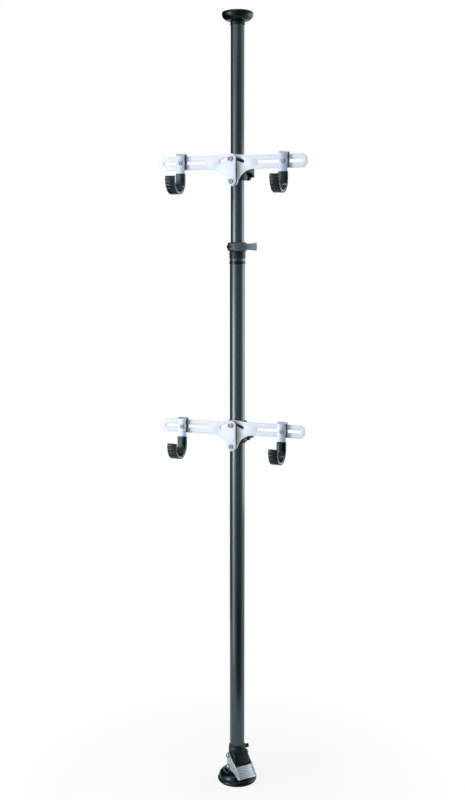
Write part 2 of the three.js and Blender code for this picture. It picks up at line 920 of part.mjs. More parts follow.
// Mount: heights are measured from its pivot bolt
function liner(tubeRadius) {
  const inner = tubeRadius + linerGap;
  const outer = clampBore / 2 - turnGap;
  const flange = outer + linerFlangeWidth;
  const bottom = clampBarrelLift - turnGap;
  const top = clampAbove + turnGap;
  return turned(
    [
      [inner, bottom - linerFlangeHeight],
      [flange, bottom - linerFlangeHeight],
      [flange, bottom],
      [outer, bottom],
      [outer, top],
      [flange, top],
      [flange, top + linerFlangeHeight],
      [inner, top + linerFlangeHeight],
    ],
    tubeSides
  );
}

function clampCollar() {
  const barrel = rod(clampRadius, clampBarrelLift, clampAbove, tubeSides);
  const face = block(
    -clampFaceHalfWidth,
    clampFaceHalfWidth,
    -clampFaceReach,
    0,
    -clampBelow,
    clampAbove
  );
  const ears = block(
    -clampEarHalfWidth,
    clampEarHalfWidth,
    0,
    clampEarReach,
    clampLeverMiddle - clampEarHeight / 2,
    clampLeverMiddle + clampEarHeight / 2
  );
  const bore = rod(clampBore / 2, -clampBelow - overrun, clampAbove + overrun, tubeSides);
  const flangeRoom = rod(
    clampBore / 2 + linerFlangeWidth + turnGap,
    -clampBelow - overrun,
    clampBarrelLift,
    tubeSides
  );
  const slit = block(
    -clampSlit / 2,
    clampSlit / 2,
    0,
    clampEarReach + overrun,
    -clampBelow - overrun,
    clampAbove + overrun
  );
  const boltHoles = [0, lockBoltLift].map((lift) =>
    rodY(armBoltRadius + boltGap, -clampFaceReach - overrun, 0, 0, lift)
  );
  const drawHole = rodX(
    drawBoltRadius + boltGap,
    -clampEarHalfWidth - overrun,
    clampEarHalfWidth + overrun,
    clampDrawBoltReach,
    clampLeverMiddle
  );
  return cut(join(barrel, face, ears), bore, flangeRoom, slit, ...boltHoles, drawHole);
}

// The closed paddle starts at the cam and wraps forward round the clamp's right side
function clampLever() {
  const path = clampLeverPathShares.map(([x, y]) => [
    x * clampRadius - clampCamReach,
    y * clampRadius - clampDrawBoltReach,
  ]);
  const edge = clampLeverEdgeShares.map(([y, z]) => [
    y * clampRadius - clampDrawBoltReach,
    z * clampRadius,
  ]);
  const under = edge.map(([y, z]) => [y, -z]).reverse();
  const reach = 2 * clampRadius;
  const strip = bentStrip(path, clampLeverThickness, clampRadius);
  const paddle = strip.intersect(plateYZ(outline([...edge, ...under]), -reach, reach));
  const eyeRoom = rod(camRadius, -eyeSpace, eyeSpace);
  return cut(join(camFork(camRadius, clampEarHeight), paddle), eyeRoom, camPinHole(clampEarHeight));
}

function armOutline() {
  const top = armBarLift + armHalfHeight;
  const bottom = armBarLift - armHalfHeight;
  const filletLift = bottom - armFilletRadius;
  const filletReach = Math.sqrt((armPivotLobe + armFilletRadius) ** 2 - filletLift ** 2);
  const contact = Math.atan2(filletLift, filletReach);
  const shoulder = Math.atan2(top - lockBoltLift, armShoulderReach);
  const crown = Math.acos(armLockLobe / Math.hypot(armShoulderReach, top - lockBoltLift)) + shoulder;
  return [
    ...arc(0, 0, armPivotLobe, contact, -2 * quarter),
    [-armLockLobe, lockBoltLift],
    ...arc(0, lockBoltLift, armLockLobe, 2 * quarter, crown).slice(1),
    [armShoulderReach, top],
    ...arc(armTipCentre, armBarLift, armTipRadius, quarter, -quarter),
    ...arc(filletReach, filletLift, armFilletRadius, quarter, contact + 2 * quarter),
  ];
}

// The lock bolt's curved slot lies outwards of the bolt, so that the arm can tilt up
function armLockSlot() {
  const radius = armBoltRadius + boltGap;
  const end = quarter - armTilt;
  const [endX, endY] = [Math.cos(end), Math.sin(end)].map((n) => n * lockBoltLift);
  return [
    ...arc(0, lockBoltLift, radius, quarter, 3 * quarter),
    ...arc(0, 0, lockBoltLift - radius, quarter, end, lockSlotSteps).slice(1),
    ...arc(endX, endY, radius, end - 2 * quarter, end).slice(1),
    ...arc(0, 0, lockBoltLift + radius, end, quarter, lockSlotSteps).slice(1, -1),
  ];
}

// An arm that reaches towards +X or -X, from its front face back by its thickness
function arm(side, front) {
  const mirror = (points) => points.map(([x, y]) => [side * x, y]);
  const shape = outline(mirror(armOutline()));
  const slotRadius = armSlotWidth / 2;
  const holes = [
    slotOutline(armSlotStart + slotRadius, armTipCentre, armBarLift, slotRadius),
    armLockSlot(),
    arc(0, 0, armBoltRadius + turnGap, 0, 4 * quarter, boltSides).slice(1),
  ];
  shape.holes = holes.map((points) => outline(mirror(points)));
  return plateXZ(shape, -front, armThickness - front, armBevel);
}

function armSpacer() {
  const shape = outline([
    ...arc(0, lockBoltLift, armSpacerRadius, 0, 2 * quarter),
    ...arc(0, 0, armSpacerRadius, 2 * quarter, 4 * quarter),
  ]);
  const back = -spacerBack;
  const plate = plateXZ(shape, back - armSpacerThickness, back);
  const holes = [0, lockBoltLift].map((lift) =>
    rodY(armBoltRadius + boltGap, back - armSpacerThickness - overrun, back + overrun, 0, lift)
  );
  return cut(plate, ...holes);
}

function armBolt(lift) {
  const seat = -frontArmFront - fitGap;
  const head = seat - armBoltHeadHeight;
  const end = -clampBore / 2 - fitGap;
  const bolt = join(
    rodY(armBoltRadius, head, end, 0, lift),
    rodY(armBoltHeadRadius, head, seat, 0, lift)
  );
  return cut(bolt, rodY(armBoltSocketRadius, head - overrun, head + armBoltSocketDepth, 0, lift, hexSides));
}

// Hook: Y and Z are measured from the middle of the arm's section at the hook's place.
// This is the strap's edge at a distance outside its middle line, from the lip to the rear tail
function strapEdge(offset, withBracket) {
  const lip = [
    [strapFrontY - cradleDepth - offset, lipTopZ],
    ...arc(strapFrontY - cradleRadius, cradleCentreZ, cradleRadius + offset, 2 * quarter, 4 * quarter),
  ];
  if (!withBracket) return lip;
  return [
    ...lip,
    ...arc(strapFrontY + strapBend, strapTopZ - strapBend, strapBend - offset, 2 * quarter, quarter, 3),
    ...arc(strapBackY - strapBend, strapTopZ - strapBend, strapBend - offset, quarter, 0, 3),
    [strapBackY - offset, -strapTail],
  ];
}

function hookStrap() {
  const half = strapThickness / 2;
  const shape = outline([...strapEdge(half, true), ...strapEdge(-half, true).reverse()]);
  const strip = plateYZ(shape, -strapWidth / 2, strapWidth / 2);
  const [start, end] = [strapFrontY - half - overrun, strapBackY + half + overrun];
  const hole = rodY(hookBoltRadius + boltGap, start, end, 0, 0);
  return cut(strip, hole);
}

// Two rubber layers along the cradle, joined over the lip, ribbed outside
function hookRubber() {
  const inside = strapThickness / 2 + fitGap;
  const outside = inside + rubberThickness;
  const layer = (offset, lift) => {
    const points = strapEdge(offset, false);
    points[0][1] += lift;
    return [...points, [strapFrontY + offset, cradleTopZ]];
  };
  const body = outline([...layer(outside, outside), ...layer(-outside, outside).reverse()]);
  const room = outline([
    ...layer(inside, inside),
    ...layer(-inside, inside).reverse(),
  ].map(([y, z]) => [y, z === cradleTopZ ? z + overrun : z]));
  const half = rubberWidth / 2;
  const ribs = [];
  const ribRadius = cradleRadius + outside;
  for (let i = 0; i < rubberRibCount; i += 1) {
    const angle = 2 * quarter + (rubberRibPitch * i) / ribRadius;
    const turn = rubberRibWidth / 2 / ribRadius;
    const low = ribRadius - rubberThickness / 2;
    const high = ribRadius + rubberRibHeight;
    const rib = outline([
      ...arc(strapFrontY - cradleRadius, cradleCentreZ, low, angle - turn, angle + turn, 1),
      ...arc(strapFrontY - cradleRadius, cradleCentreZ, high, angle + turn, angle - turn, 1),
    ]);
    ribs.push(plateYZ(rib, -half, half));
  }
  const strapRoom = plateYZ(room, -half - overrun, half + overrun);
  return cut(join(plateYZ(body, -half, half), ...ribs), strapRoom);
}

// The slider stands the strap off the arm, and is waisted beside the arm's slot
function hookSlider() {
  const half = strapWidth / 2;
  const high = armHalfHeight - sliderInset;
  const slot = armSlotWidth / 2;
  const shape = outline([
    [-half, -high],
    [half, -high],
    [half, -slot],
    [sliderWaistHalfWidth, -slot],
    [sliderWaistHalfWidth, slot],
    [half, slot],
    [half, high],
    [-half, high],
    [-half, slot],
    [-sliderWaistHalfWidth, slot],
    [-sliderWaistHalfWidth, -slot],
    [-half, -slot],
  ]);
  const face = -armThickness / 2 - fitGap;
  const front = strapFrontY + strapThickness / 2 + fitGap;
  const hole = rodY(hookBoltRadius + boltGap, front - overrun, face + overrun, 0, 0);
  return cut(plateXZ(shape, front, face), hole);
}

function hookBolt() {
  const half = strapThickness / 2;
  const front = strapFrontY - half - fitGap;
  const back = strapBackY + half + fitGap;
  const bolt = join(
    rodY(hookBoltRadius, front - hookBoltHeadHeight, back + hookNutHeight, 0, 0),
    rodY(hookBoltHeadRadius, front - hookBoltHeadHeight, front, 0, 0),
    rodY(hookNutRadius, back, back + hookNutHeight, 0, 0, hexSides)
  );
  const socket = rodY(
    hookBoltRadius - fitGap,
    front - hookBoltHeadHeight - overrun,
    front - hookBoltHeadHeight / 2,
    0,
    0,
    hexSides
  );
  return cut(bolt, socket);
}

function buildHook(name) {
  const hook = new THREE.Group();
  add(hook, `${name}_strap`, hookStrap(), looks.steel);
  add(hook, `${name}_rubber`, hookRubber(), looks.rubber);
  add(hook, `${name}_slider`, hookSlider(), looks.blackPlastic);
  add(hook, `${name}_bolt`, hookBolt(), looks.bolt);
  return hook;
}

function buildMount(name, height, tubeRadius) {
  const mount = new THREE.Group();
  mount.position.z = height;
  add(mount, `${name}_liner`, liner(tubeRadius), looks.blackPlastic);
  add(mount, `${name}_clamp`, clampCollar(), looks.blackPlastic);
  const cam = new THREE.Group();
  cam.position.set(clampCamReach, clampDrawBoltReach, clampLeverMiddle);
  const bolt = add(
    cam,
    `${name}_clamp_draw_bolt`,
    drawBolt(clampCamReach + clampEarHalfWidth + fitGap),
    looks.bolt
  );
  bolt.rotation.z = quarter;
  add(cam, `${name}_clamp_lever`, clampLever(), looks.blackPlastic);
  add(cam, `${name}_clamp_lever_pin`, camPin(clampEarHeight), looks.bolt);
  mount.add(cam);
  add(mount, `${name}_arm_left`, arm(-1, frontArmFront), looks.satin);
  add(mount, `${name}_arm_right`, arm(1, rearArmFront), looks.satin);
  add(mount, `${name}_arm_spacer`, armSpacer(), looks.blackPlastic);
  add(mount, `${name}_pivot_bolt`, armBolt(0), looks.bolt);
  add(mount, `${name}_lock_bolt`, armBolt(lockBoltLift), looks.bolt);
  for (const [word, place, front] of [
    ['left', -hookPlaceLeft, frontArmFront],
    ['right', hookPlaceRight, rearArmFront],
  ]) {
    const hook = buildHook(`${name}_hook_${word}`);
    hook.position.set(place, armThickness / 2 - front, armBarLift);
    mount.add(hook);
  }
  return mount;
}

const group = new THREE.Group();
group.add(
  buildFoot(),
  buildLowerPole(),
  buildUpperPole(),
  buildMount('upper', upperMountHeight, upperTubeRadius),
  buildMount('lower', lowerMountHeight, lowerTubeRadius)
);

export default group;
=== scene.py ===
import json
import math
import bmesh
import bpy
from bpy.props import FloatProperty, FloatVectorProperty, IntProperty, PointerProperty
from mathutils import Euler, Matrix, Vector


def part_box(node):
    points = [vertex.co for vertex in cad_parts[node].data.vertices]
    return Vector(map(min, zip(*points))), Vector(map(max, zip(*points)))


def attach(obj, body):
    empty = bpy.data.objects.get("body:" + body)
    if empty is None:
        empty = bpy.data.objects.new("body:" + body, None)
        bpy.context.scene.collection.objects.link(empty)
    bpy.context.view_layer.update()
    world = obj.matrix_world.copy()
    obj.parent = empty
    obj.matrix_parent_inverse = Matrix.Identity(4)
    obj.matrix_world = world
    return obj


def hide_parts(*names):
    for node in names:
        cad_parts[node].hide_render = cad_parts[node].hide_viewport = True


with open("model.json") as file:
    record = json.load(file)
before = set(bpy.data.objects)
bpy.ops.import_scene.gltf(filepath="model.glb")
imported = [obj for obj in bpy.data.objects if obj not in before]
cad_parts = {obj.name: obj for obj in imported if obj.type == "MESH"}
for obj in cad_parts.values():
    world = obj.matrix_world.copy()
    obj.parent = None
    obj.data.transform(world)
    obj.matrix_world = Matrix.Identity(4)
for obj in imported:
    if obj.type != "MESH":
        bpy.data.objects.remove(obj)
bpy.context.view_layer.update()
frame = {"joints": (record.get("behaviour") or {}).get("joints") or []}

bl_info = {
    "name": "Bike Storage Tower",
    "version": (1, 0, 0),
    "blender": (4, 5, 0),
    "location": "View3D > Sidebar > Tower",
    "description": "Models the poles, mounts, hooks and foot of a bike storage tower",
    "category": "Add Mesh",
}

# Counts, angles and shares that every piece uses
WELD = 1e-6
ROUND_STEPS = 96
BOLT_STEPS = 32
CORNER_STEPS = 5
QUARTER = math.pi / 2
SMOOTH_ANGLE = math.radians(32)
BEVEL_ANGLE = math.radians(55)
# A face counts as flat where its normal's share along Z passes this
FACING = 0.9
# The arc in a corner takes at most this share of the corner's shorter side
TRIM_SHARE = 0.49
SIDES = {"left": -1, "right": 1}
MOUNTS = ("upper", "lower")


def low(node):
    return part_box(node)[0]


def high(node):
    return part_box(node)[1]


def ends(node, axis="z"):
    """Where the node's solid starts and ends along an axis"""
    return getattr(low(node), axis), getattr(high(node), axis)


def joint(name):
    return next(j for j in frame["joints"] if j["name"] == name)


PEDAL_HINGE = joint("pedal_hinge")
FOOT_TURNED = (0, 0, math.atan2(PEDAL_HINGE["axis"][1], PEDAL_HINGE["axis"][0]))
HOUSING_PIVOT = PEDAL_HINGE["pos_m"][2]
LINK_PIVOT = joint("link_hinge")["pos_m"][2]
MOUNT_HEIGHT = {m: joint(f"{m}_arm_left_tilt")["pos_m"][2] for m in MOUNTS}

# The levers' paths seen from above, and their edges, in shares of the radius that they wrap round
CLAMP_LEVER_PATH = (
    (0.86, 1.55), (1.26, 1.16), (1.41, 0.68), (1.47, 0.15), (1.37, -0.4), (1.12, -0.86),
)
CLAMP_LEVER_EDGE = (
    (1.74, 0.42), (1.62, 0.56), (1.38, 0.66), (1.12, 0.62),
    (0.6, 0.46), (0.1, 0.28), (-0.62, 0.22), (-0.7, 0.12),
)
COLLAR_LEVER_PATH = ((-0.57, -1.09), (-0.15, -1.21), (0.38, -1.24), (1.05, -1.13), (2.1, -0.94))
COLLAR_LEVER_EDGE = (
    (-0.95, 0.32), (-0.47, 0.33), (-0.25, 0.42), (0.36, 0.455), (0.74, 0.42),
    (1.08, 0.34), (1.3, 0.34), (2.04, 0.42), (2.1, 0.36),
)
# A fork's rounding against its radius, and a lever's uncut strip against its widest edge
FORK_ROUND, MASK_MARGIN = 0.9, 1.2
# The sunk fields of a pedal's cheek: reach and drop from the pivot, in shares of the heel's reach
CHEEK_FIELDS = (
    ((0.21, 0.125), (0.39, 0.245), (0.36, 0.633), (0.21, 0.633)),
    ((0.44, 0.278), (0.66, 0.42), (0.98, 0.773), (0.58, 0.642), (0.41, 0.633)),
)
CHEEK_SHOULDER = math.radians(150)
# One ridge of the tread: places in its pitch, and how much of its depth each is sunk
RIDGE_PROFILE = ((0.08, 0), (0.36, 1), (0.60, 1), (0.88, 0))
# The foot pad's grooves, in shares of its sole, and how far its bead turns in
SOLE_GROOVES = (0.35, 0.55, 0.75)
BEAD_TURN = math.radians(62)
THUMB_FLUTES = 14
# A bolt's head: crown and rounding in shares of its height, flat top in a share of its radius,
# and the hexagon socket's radius and depth in shares of both
HEAD_CROWN, HEAD_ROUND, HEAD_FLAT = 0.35, 0.12, 0.72
SOCKET_RADIUS, SOCKET_DEPTH = 0.52, 0.6
# A hook's bolt against an arm's, in radius and height of the head and radius of the shank
HOOK_HEAD, HOOK_HEAD_HEIGHT, HOOK_SHANK = 0.88, 0.85, 0.85
# The waist of a slider and the crown of a rib, in shares of their half width
SLIDER_WAIST, RIB_CROWN = 0.55, 0.28
# The rounding of the rubber's lip against its thickness, and of a clamp's ears against their height
LIP_ROUND, EAR_ROUND = 0.8, 0.8


def length(name, description, default):
    return FloatProperty(
        name=name, description=description, default=default, unit="LENGTH", precision=4
    )


def angle(name, description, degrees):
    return FloatProperty(
        name=name, description=description, default=math.radians(degrees), subtype="ANGLE"
    )


def colour(name, description, default):
    return FloatVectorProperty(
        name=name, description=description, default=default, subtype="COLOR", size=3
    )


# Sizes and colours that a user would change
class TowerPole(bpy.types.PropertyGroup):
    lower_wall: length("Lower tube wall", "Wall of the lower tube", 0.0022)
    upper_wall: length("Upper tube wall", "Wall of the upper tube", 0.0020)
    end_round: length("Tube end", "Rounding of a tube's cut end", 0.0006)
    rim_round: length("Cap rim", "Rounding of the ceiling pad's rim", 0.0045)
    rim_height: length("Cap rim height", "Height of the ceiling pad's upright rim", 0.007)
    flange: length("Liner flange", "Height and reach of a liner's flange", 0.0020)


class TowerCollar(bpy.types.PropertyGroup):
    turn: angle("Turn", "Where the collar faces", 20)
    wall: length("Wall", "Wall of the collar", 0.004)
    chamfer: length("Chamfer", "Chamfer of the collar's edges", 0.0025)
    slit: length("Slit", "Gap between the collar's ears", 0.003)
    ear_turn: angle("Ear turn", "Where the ears stand on the ring", 215)
    ear_reach: length("Ear reach", "From the pole's axis to the end of the ears", 0.031)
    ear_half: length("Ear depth", "Half the depth of the two ears", 0.0045)
    ear_margin: length("Ear margin", "Ring above and below the ears", 0.0025)
    bolt_reach: length("Bolt reach", "From the pole's axis to the draw bolt", 0.027)
    cam_radius: length("Cam", "Radius of the lever's cam", 0.0055)
    fork: length("Fork", "Height of the lever's fork", 0.020)
    lever: length("Lever", "Thickness of the collar's lever", 0.005)


class TowerClamp(bpy.types.PropertyGroup):
    bore: length("Bore", "Diameter of the clamp's bore", 0.048)
    wall: length("Wall", "Wall of the clamp's barrel", 0.0038)
    below: length("Below", "Face plate below the pivot bolt", 0.008)
    lift: length("Lift", "Bottom of the barrel above the pivot bolt", 0.008)
    above: length("Above", "Top of the barrel above the pivot bolt", 0.066)
    slit: length("Slit", "Gap between the clamp's ears", 0.003)
    face_reach: length("Face reach", "From the pole's axis to the arms' seat", 0.030)
    face_half: length("Face width", "Half the width of the arms' seat", 0.0115)
    ear_reach: length("Ear reach", "From the pole's axis to the end of the ears", 0.041)
    ear_half: length("Ear width", "Half the width of the two ears", 0.009)
    ear_height: length("Ear height", "Height of the ears and of the lever's fork", 0.050)
    cam_radius: length("Cam", "Radius of the lever's cam", 0.0087)
    lever: length("Lever", "Thickness of the clamp's lever", 0.005)


class TowerDrawBolt(bpy.types.PropertyGroup):
    shank: length("Shank", "Radius of a draw bolt", 0.003)
    head: length("Head", "Radius of its hexagon head", 0.005)
    head_height: length("Head height", "Height of its head", 0.003)
    eye: length("Eye", "Radius of its eye", 0.0055)
    eye_height: length("Eye height", "Height of its eye", 0.007)
    pin: length("Pin", "Radius of the pin in the eye", 0.0025)
    pin_head: length("Pin head", "Radius of the pin's heads", 0.0036)
    pin_head_height: length("Pin head height", "Height of the pin's heads", 0.001)


class TowerArm(bpy.types.PropertyGroup):
    thickness: length("Thickness", "Thickness of an arm's plate", 0.005)
    edge: length("Edge", "Rounding of an arm's edges", 0.0008)
    tip_radius: length("Tip radius", "Radius of an arm's tip, half its height", 0.0185)
    reach: length("Reach", "From the pole's axis to an arm's tip", 0.2145)
    bar_lift: length("Bar lift", "From the pivot bolt up to the middle of the bar", 0.0515)
    fillet: length("Fillet", "Radius between the bar and the hub", 0.050)
    pivot_lobe: length("Pivot lobe", "Radius of the hub round the pivot bolt", 0.0125)
    lock_lobe: length("Lock lobe", "Radius of the hub round the lock bolt", 0.0135)
    shoulder: length("Shoulder", "Where the hub's crown meets the bar", 0.040)
    lock_lift: length("Lock lift", "From the pivot bolt up to the lock bolt", 0.061)
    tilt: angle("Tilt", "How far an arm tilts", 28)
    slot_start: length("Slot start", "From the pole's axis to the long slot", 0.071)
    slot_width: length("Slot width", "Width of the long slot", 0.0095)
    bolt_radius: length("Bolt", "Radius of the arm's bolts", 0.004)
    head_radius: length("Bolt head", "Radius of the bolt heads", 0.0066)
    head_height: length("Bolt head height", "Height of the bolt heads", 0.004)


class TowerHook(bpy.types.PropertyGroup):
    width: length("Strap width", "Width of the steel strap", 0.0246)
    strap: length("Strap", "Thickness of the steel strap", 0.003)
    stand_off: length("Stand-off", "From the arm to the strap in front of it", 0.010)
    rise: length("Rise", "How far the strap stands above the arm", 0.007)
    drop: length("Drop", "Bare strap below the arm", 0.010)
    bend: length("Bend", "Radius of the strap's bends", 0.004)
    tail: length("Tail", "How far the strap reaches down behind the arm", 0.014)
    depth: length("Depth", "From the strap's rear leg to its lip", 0.070)
    fall: length("Fall", "Height of the rubber on the rear leg", 0.058)
    lip: length("Lip", "Height of the lip above the round", 0.0055)
    rubber_width: length("Rubber width", "Width of the rubber", 0.0266)
    rubber: length("Rubber", "Thickness of the rubber", 0.0024)
    rib: length("Rib", "Height of a rib on the rubber", 0.0012)
    rib_width: length("Rib width", "Width of a rib", 0.005)
    rib_pitch: length("Rib pitch", "From rib to rib", 0.009)
    rib_count: IntProperty(name="Ribs", description="Ribs on the outside of the lip", default=5)
    gap: length("Gap", "Clearance between pieces that touch", 0.0003)


class TowerFoot(bpy.types.PropertyGroup):
    pad_rim: length("Pad rim", "Radius of the pad's rounded rim", 0.006)
    well: length("Well", "Radius of the pad's well", 0.037)
    well_floor: length("Well floor", "Height of the floor in the pad's well", 0.005)
    bracket: length("Bracket", "Thickness of the bracket's disc", 0.003)
    ear: length("Bracket ear", "Thickness of the bracket's ears", 0.0025)
    ear_half: length("Ear width", "Half the width of the bracket's ears", 0.009)
    ear_span: length("Ear span", "From the middle to the inside of an ear", 0.0213)
    play: length("Play", "Length of the slot that the foot's pivot moves in", 0.0029)
    side_play: length("Side play", "Play of the foot's pivot to each side", 0.0004)
    spigot_wall: length("Spigot wall", "Wall of the spigot in the tube", 0.0025)
    link: length("Link", "Thickness of a link", 0.0028)
    link_eye: length("Link eye", "Radius of a link's ends", 0.006)
    link_pin: length("Link pin", "Radius of the links' pins", 0.003)
    stud_head: length("Stud head", "Radius of the head inside the bracket's ear", 0.005)
    stud_head_height: length("Stud head height", "Height of that head", 0.0014)
    link_length: length("Link length", "Between the link's two pins", 0.026)
    wall: length("Housing wall", "Wall of the housing", 0.0035)
    boss_wall: length("Housing boss", "Wall of the housing's lower boss", 0.0023)
    shoulder: length("Shoulder", "Height of the housing's shoulder", 0.058)
    rim_height: length("Housing rim", "Height of the housing's rim", 0.005)
    rim_wall: length("Rim wall", "Wall of the housing's rim", 0.002)
    nose_reach: length("Nose reach", "From the pole's axis to the housing's nose", 0.037)
    nose_top: length("Nose top", "Height of the nose at the tube", 0.096)
    nose_edge: length("Nose edge", "Height of the nose at its front", 0.064)
    nose_half: length("Nose width", "Half the width of the nose", 0.0235)
    bearing: length("Bearing", "Radius of the pedal's bearings", 0.009)
    screw_height: length("Screw height", "Height of the thumb screw", 0.098)
    screw_boss: length("Screw boss", "How far the screw's boss stands out", 0.004)
    screw_head: length("Screw head", "Radius of the thumb screw", 0.006)
    screw_grip: length("Screw grip", "Height of the thumb screw", 0.008)
    cheek: length("Cheek", "Thickness of the pedal's cheeks", 0.003)
    cheek_pivot: length("Cheek pivot", "Radius of a cheek round its pivot", 0.010)
    cheek_link: length("Cheek link", "Radius of a cheek round the link's bolt", 0.008)
    belly: length("Belly", "Reach of a cheek's lower corner", 0.034)
    relief: length("Relief", "Depth of the fields in a cheek's face", 0.0010)
    tread: length("Tread", "Thickness of the tread", 0.004)
    tread_top: length("Tread top", "Reach of the tread's upper edge", 0.041)
    tread_top_drop: length("Tread top drop", "Drop of that edge below the pivot", 0.021)
    tread_end: length("Tread end", "Reach of the tread's lower edge", 0.067)
    tread_end_drop: length("Tread end drop", "Drop of that edge below the pivot", 0.048)
    heel: length("Heel", "Reach of a cheek's heel", 0.060)
    heel_drop: length("Heel drop", "Drop of the heel below the pivot", 0.052)
    rails: length("Tread rails", "Width of the plain strips above and below the ridges", 0.005)
    ridge: length("Ridge", "Height of a ridge on the tread", 0.0015)
    ridges: IntProperty(name="Ridges", description="Ridges across the tread", default=5)
    bolt: length("Pivot bolt", "Radius of the pivot bolts", 0.004)
    bolt_head: length("Bolt head", "Radius of the pedal's bolt heads", 0.007)
    bolt_head_height: length("Bolt head height", "Height of the pedal's bolt heads", 0.005)


class TowerFinish(bpy.types.PropertyGroup):
    tube: colour("Tube", "Anodised tube", (0.050, 0.072, 0.078))
    tube_light: colour("Tube light", "Lighter streaks in the anodised tube", (0.088, 0.116, 0.134))
    satin: colour("Satin", "Satin aluminium of the arms", (0.77, 0.82, 0.91))
    # satin_dark, at 0.55 of it, is also the painted shade along the arms' rims
    satin_dark: colour("Satin dark", "Darker brushing in the satin aluminium", (0.66, 0.72, 0.82))
    strap: colour("Strap", "Steel of the hook straps", (0.30, 0.345, 0.43))
    bolt: colour("Bolt", "Steel of the bolts", (0.42, 0.44, 0.46))
    blackened: colour("Blackened steel", "Steel of draw bolts and pins", (0.035, 0.042, 0.045))
    rubber: colour("Rubber", "Black rubber", (0.0018, 0.0036, 0.0034))
    plastic: colour("Plastic", "Black moulded plastic", (0.0035, 0.0060, 0.0062))
    cast: colour("Cast", "Black coated castings", (0.0040, 0.0070, 0.0075))
    lever: colour("Lever", "Grey moulded lever", (0.062, 0.078, 0.094))
    # The grip tone is the painted sheen towards the lever's end and the painted highlight along its
    # edges
    grip: colour("Grip", "Polished end of the lever", (0.27, 0.33, 0.39))
    pedal: colour("Pedal", "Satin metal of the pedal", (0.52, 0.58, 0.64))
    floor: colour("Floor", "Pale floor", (0.86, 0.86, 0.86))
    flag: colour("Flag", "Dark cloth of the flags", (0.01, 0.01, 0.01))
    room: colour("Room", "Dim room on the camera's side", (0.50, 0.50, 0.52))


class TowerStage(bpy.types.PropertyGroup):
    lens: FloatProperty(
        name="Lens", description="Focal length on a 36 mm frame", default=48.74, unit="CAMERA"
    )
    azimuth: angle("Azimuth", "Where the camera stands", 21)
    distance: length("Distance", "From the pole's axis to the camera", 3.061)
    height: length("Height", "The camera's height", 1.566)
    pitch: angle("Pitch", "How far the camera looks down", 7.83)
    yaw: angle("Yaw", "How far it looks past the pole", 0.26)
    floor_size: length("Floor size", "Width of the floor", 7.0)
    fill: FloatProperty(name="Fill", description="Strength of the surrounding light", default=0.36)


GROUPS = {
    "tower_pole": TowerPole,
    "tower_collar": TowerCollar,
    "tower_clamp": TowerClamp,
    "tower_draw_bolt": TowerDrawBolt,
    "tower_arm": TowerArm,
    "tower_hook": TowerHook,
    "tower_foot": TowerFoot,
    "tower_finish": TowerFinish,
    "tower_stage": TowerStage,
}


# Shading
GLOSS_TINT = (0.70, 0.95, 1.0, 1.0)
NOISE_ROUGHNESS = 0.55
EDGE_SAMPLES = 4
EDGE_TURN = (0.01, 0.22)


class Signal:
    """A shader socket that works in sums: each operator adds its Math node"""

    def __init__(self, tree, socket):
        self.tree = tree
        self.socket = socket

    def math(self, operation, *values):
        return self.tree.add("ShaderNodeMath", {"operation": operation}, dict(enumerate(values)))

    def __add__(self, other):
        return self.math("ADD", self, other)

    def __radd__(self, other):
        return self.math("ADD", other, self)

    def __sub__(self, other):
        return self.math("SUBTRACT", self, other)

    def __rsub__(self, other):
        return self.math("SUBTRACT", other, self)

    def __mul__(self, other):
        return self.math("MULTIPLY", self, other)

    def __rmul__(self, other):
        return self.math("MULTIPLY", other, self)

    def between(self, start, end):
        """0 below start, 1 above end and smooth between them"""
        settings = {"interpolation_type": "SMOOTHSTEP"}
        inputs = {"Value": self, "From Min": start, "From Max": end}
        return self.tree.add("ShaderNodeMapRange", settings, inputs)


class Tree:
    """A node tree, with one method that adds any node to it"""

    def __init__(self, tree):
        self.tree = tree

    def feed(self, socket, value):
        if isinstance(value, Signal):
            self.tree.links.new(value.socket, socket)
        else:
            socket.default_value = value

    def add(self, kind, settings, inputs, output=0):
        node = self.tree.nodes.new(kind)
        for key, value in settings.items():
            setattr(node, key, value)
        for key, value in inputs.items():
            self.feed(node.inputs[key], value)
        return Signal(self, node.outputs[output])


